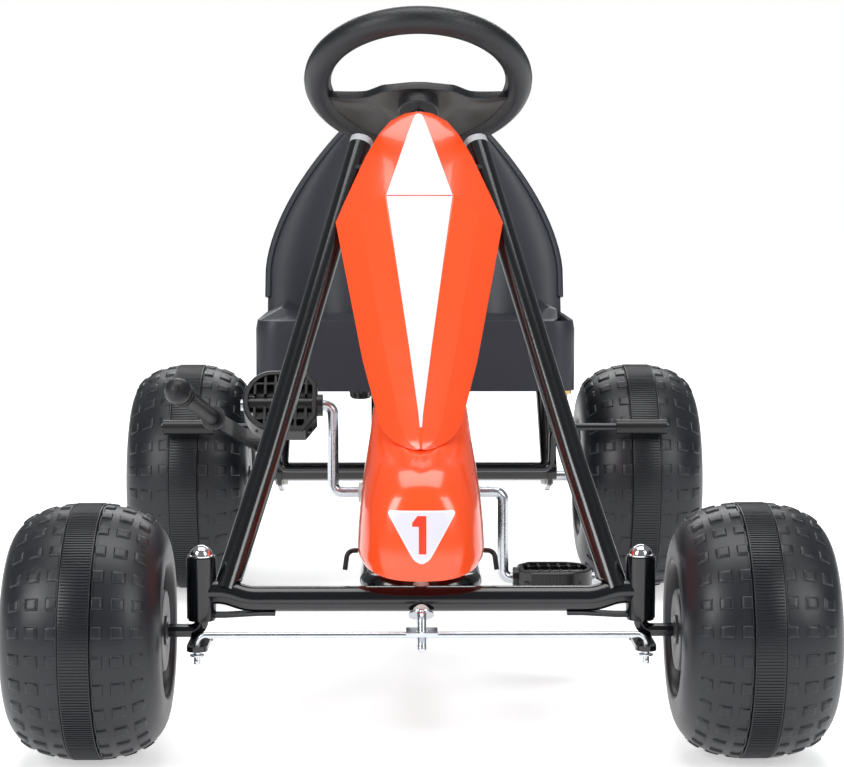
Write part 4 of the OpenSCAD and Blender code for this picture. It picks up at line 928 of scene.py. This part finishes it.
def fit_pan():
    """The pan: a rounded top running down into an apron, taller at the front."""
    rows = []
    for b in [i / 20 for i in range(21)]:
        row = []
        for j in range(41):
            a = -1 + j / 20
            x = PAN_HALF * a
            y = SEAT_FRONT + PAN_DEPTH * b
            pull = max(0.0, PAN_ROUND - PAN_DEPTH * min(b, 1 - b))
            widest = PAN_HALF - PAN_ROUND + math.sqrt(max(0.0, PAN_ROUND ** 2 - pull ** 2))
            x = math.copysign(min(abs(x), widest), a) if a else 0
            row.append(Vector((x, y, SEAT_Z + pan_surface(a, b))) * MM)
        rows.append(row)
    top = lofted("seat_pan", rows)
    face_towards(top, (0, 0, 1))
    bpy.ops.object.mode_set(mode="OBJECT")
    apply_modifier(top, "SOLIDIFY", thickness=0.005, offset=-1)
    fit_out(finish_edit(top, 40), "seat", "seat_plastic", SEAT)
    ring = []
    middle_y = SEAT_FRONT + PAN_DEPTH / 2
    straight_x, straight_y = PAN_HALF - PAN_ROUND, PAN_DEPTH / 2 - PAN_ROUND
    for cx, cy, start in ((1, 1, 0), (-1, 1, 90), (-1, -1, 180), (1, -1, 270)):
        for k in range(9):
            a = math.radians(start + 90 * k / 8)
            ring.append((cx * straight_x + PAN_ROUND * math.cos(a),
                         middle_y + cy * straight_y + PAN_ROUND * math.sin(a)))
        nx, ny = {0: (-1, 1), 90: (-1, -1), 180: (1, -1), 270: (1, 1)}[start]
        a = math.radians(start + 90)
        end = ring[-1]
        goal = (nx * straight_x + PAN_ROUND * math.cos(a),
                middle_y + ny * straight_y + PAN_ROUND * math.sin(a))
        ring += [(end[0] + (goal[0] - end[0]) * k / 12, end[1] + (goal[1] - end[1]) * k / 12)
                 for k in range(1, 12)]

    def foot(x, y):
        # the front hangs lowest; the sides and back stop higher
        run = smooth_step((SEAT_FRONT + 42 - y) / 16)
        return 251 - 15 * run
    rows = []
    for share in (0.0, 0.04, 0.12, 0.3, 0.6, 0.9, 0.96, 1.0):
        flare = -1.5 * (1 - min(1, share / 0.12))
        rows.append([Vector((x * (1 + flare / PAN_HALF), y + (0 if y > SEAT_FRONT + 30 else -flare),
                             SEAT_Z - 0.2 + (foot(x, y) - SEAT_Z + 0.2) * share)) * MM for x, y in ring])
    apron = lofted("seat_apron", rows, ring=True)
    bpy.ops.mesh.select_all(action="SELECT")
    bpy.ops.mesh.normals_make_consistent(inside=False)
    bpy.ops.object.mode_set(mode="OBJECT")
    apply_modifier(apron, "SOLIDIFY", thickness=0.004, offset=0)
    fit_out(finish_edit(apron, 40), "seat", "seat_plastic", SEAT)


# ---------------------------------------------------------------- pedals

PEDAL_FROM = 86
PEDAL_LEN = 72
PEDAL_HALF = 31
PEDAL_THICK = 20


def pedal_outline():
    """The D-shaped outline from above: the inner end has chamfered corners, the outer is rounded."""
    middle = PEDAL_FROM + PEDAL_LEN - 26
    points = [(PEDAL_FROM + 5, PEDAL_HALF - 14), (PEDAL_FROM + 5, -PEDAL_HALF + 14),
              (PEDAL_FROM + 15, -PEDAL_HALF)]
    for k in range(15):
        a = math.radians(-90 + 180 * k / 14)
        points.append((middle + 26 * math.cos(a), PEDAL_HALF * math.sin(a)))
    return points + [(PEDAL_FROM + 15, PEDAL_HALF)]


def shrunk(points, by):
    cx = PEDAL_FROM + 5 + 33
    return [(cx + (x - cx) * (1 - by / 33), y * (1 - by / PEDAL_HALF)) for x, y in points]


def build_pedal(name):
    """A pedal lying flat round its rod at the origin: outer wall, treads, ribs and collars."""
    outline = pedal_outline()
    half = PEDAL_THICK / 2
    rows = []
    for inset, z in ((1.2, -half), (0, -half + 1.2), (0, half - 1.2), (1.2, half), (4.4, half),
                     (4.6, half - 1), (4.6, -half + 1), (4.4, -half)):
        rows.append([Vector((x, y, z)) * MM for x, y in shrunk(outline, inset)])
    rows.append(list(rows[0]))
    wall = lofted(name, rows, ring=True)
    tidy_mesh()
    finish_edit(wall, 40)
    parts = [wall]

    def box(x0, x1, y0, y1, z0, z1):
        bpy.ops.object.select_all(action="DESELECT")
        bpy.ops.mesh.primitive_cube_add(size=1)
        block = bpy.context.object
        block.data.transform(Matrix.Translation(Vector((x0 + x1, y0 + y1, z0 + z1)) * (MM / 2))
                             @ Matrix.Diagonal(Vector((x1 - x0, y1 - y0, z1 - z0, 1000)) * MM))
        parts.append(block)
    end = PEDAL_FROM + PEDAL_LEN
    box(PEDAL_FROM + 9, end - 12, -PEDAL_HALF + 3, PEDAL_HALF - 3, -1.2, 1.2)
    for k in range(6):
        x = PEDAL_FROM + 14 + 9.2 * k
        reach = PEDAL_HALF - 2.5 if k < 5 else PEDAL_HALF - 7
        for z0, z1 in ((1, half - 0.9), (-half + 0.9, -1)):
            box(x, x + 2.2, -reach, -6.5, z0, z1)
            box(x, x + 2.2, 6.5, reach, z0, z1)
    for y in (-19, 17):
        for z0, z1 in ((1, half - 1.6), (-half + 1.6, -1)):
            box(PEDAL_FROM + 8, end - 8, y, y + 2, z0, z1)
    for k in range(11):
        x = PEDAL_FROM + 17 + 3.1 * k
        for y0, y1 in ((PEDAL_HALF - 0.4, PEDAL_HALF + 0.7), (-PEDAL_HALF - 0.7, -PEDAL_HALF + 0.4)):
            if x < end - 28:
                box(x, x + 1.2, y0, y1, -half + 2, half - 2)
    sleeve_line = [(0, 5.3), (0, 9.4), (0.6, 10), (5.6, 10), (6, 7.4), (68, 7.4), (68, 5.3), (0, 5.3)]
    sleeve = turned(name + "_sleeve", in_metres(sleeve_line), (PEDAL_FROM * MM, 0, 0), (1, 0, 0), steps=32)
    parts.append(sleeve)
    return finish_edit(joined(*parts), 35)


def fit_pedals():
    crank_y, crank_z, throw = -0.123, 0.173, 0.079
    pedal = build_pedal("left_pedal")
    other = mirrored_copy(pedal, "right_pedal")
    pedal.data.transform(Matrix.Translation((0, crank_y, crank_z - throw)))
    other.data.transform(Matrix.Translation((0, crank_y, crank_z + throw))
                         @ Matrix.Rotation(math.radians(55), 4, "X"))
    fit_out(pedal, "pedal_left", "black_plastic", SMOOTH, "pedal_left")
    fit_out(other, "pedal_right", "black_plastic", SMOOTH, "pedal_right")


# ---------------------------------------------------------------- hand brake

GRIP_FOOT = Vector((-204, 127, 214)) * MM
GRIP_WAY = Vector((-33, -90, 40)).normalized()


def fit_brake():
    grip = turned("brake_handle", in_metres((
        (4, 4.8), (4, 11.5), (4.8, 12.8), (6.6, 13), (7.6, 12), (8, 8.2), (30, 8.3), (60, 9.3), (77, 9.8),
        (79, 12), (80, 12.6), (81.4, 12.5), (82.2, 11), (84, 11), (85, 12.7), (86.4, 12.8), (87.3, 11.5),
        (88.4, 11.6), (91, 12.9), (96, 13.1), (101, 11.6), (105, 8.2), (107.3, 4.4), (108, 0), (35, 0),
        (35, 4.8), (4, 4.8))), GRIP_FOOT, GRIP_WAY, steps=48, angle=35)
    fit_out(grip, "brake", "black_plastic", GRAINED, "brake_grip")


# ---------------------------------------------------------------- small parts


def fit_trim():
    """Rounded caps over the kingpins and the lobed seat knob."""
    for word in ("left", "right"):
        box_low, box_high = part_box(f"kingpin_cap_{word}")
        middle = (Vector(box_low) + Vector(box_high)) / 2
        base, top = box_low[2], box_high[2]
        half = (box_high[0] - box_low[0]) / 2
        high = top - base
        shares = [(0, 0.97), (0.06, 1), (0.16, 0.99), (0.2, 0.83), (0.45, 0.79), (0.68, 0.64), (0.85, 0.43),
                  (0.96, 0.2), (1, 0), (0, 0), (0, 0.97)]
        cap = turned(f"kingpin_dome_{word}", [(high * a, half * r) for a, r in shares],
                     (middle.x, middle.y, base), (0, 0, 1), steps=48, angle=40)
        fit_out(cap, f"knuckle_{word}", "bright_cap", CAP_CHROME, f"kingpin_cap_{word}")
    low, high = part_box("seat_knob")
    centre = Vector(((low[0] + high[0]) / 2, (low[1] + high[1]) / 2, low[2]))
    radius = (high[0] - low[0]) / 2
    rows = []
    for z, share in ((0, 0.5), (1, 0.78), (3.5, 0.95), (8, 1), (17, 1), (20.5, 0.93), (23, 0.7), (24, 0.42)):
        rows.append([centre + Vector((math.cos(a), math.sin(a), 0)) * radius * share
                     * (1 - 0.1 * (0.5 - 0.5 * math.cos(7 * a))) + Vector((0, 0, z * MM))
                     for a in [2 * math.pi * k / 84 for k in range(84)]])
    knob = lofted("seat_knob_lobes", rows, ring=True)
    bpy.ops.mesh.select_all(action="DESELECT")
    bpy.ops.mesh.select_mode(type="EDGE")
    bpy.ops.mesh.select_non_manifold()
    bpy.ops.mesh.edge_face_add()
    bpy.ops.mesh.select_mode(type="VERT")
    tidy_mesh()
    knob = finish_edit(knob, 40)
    neck = turned("knob_neck", [(23 * MM, 0), (23 * MM, 7 * MM), (high[2] - low[2] - 9.6 * MM, 7 * MM),
                                (high[2] - low[2] - 9.6 * MM, 3 * MM), (high[2] - low[2], 3 * MM),
                                (high[2] - low[2], 0), (23 * MM, 0)], centre, (0, 0, 1), steps=32)
    fit_out(joined(knob, neck), "seat_knob", "black_plastic", SMOOTH, "seat_knob")

for build in (fit_wheels, fit_hood, fit_steering_wheel, fit_seat, fit_pedals, fit_brake, fit_trim):
    build()
add_studio()
add_camera()
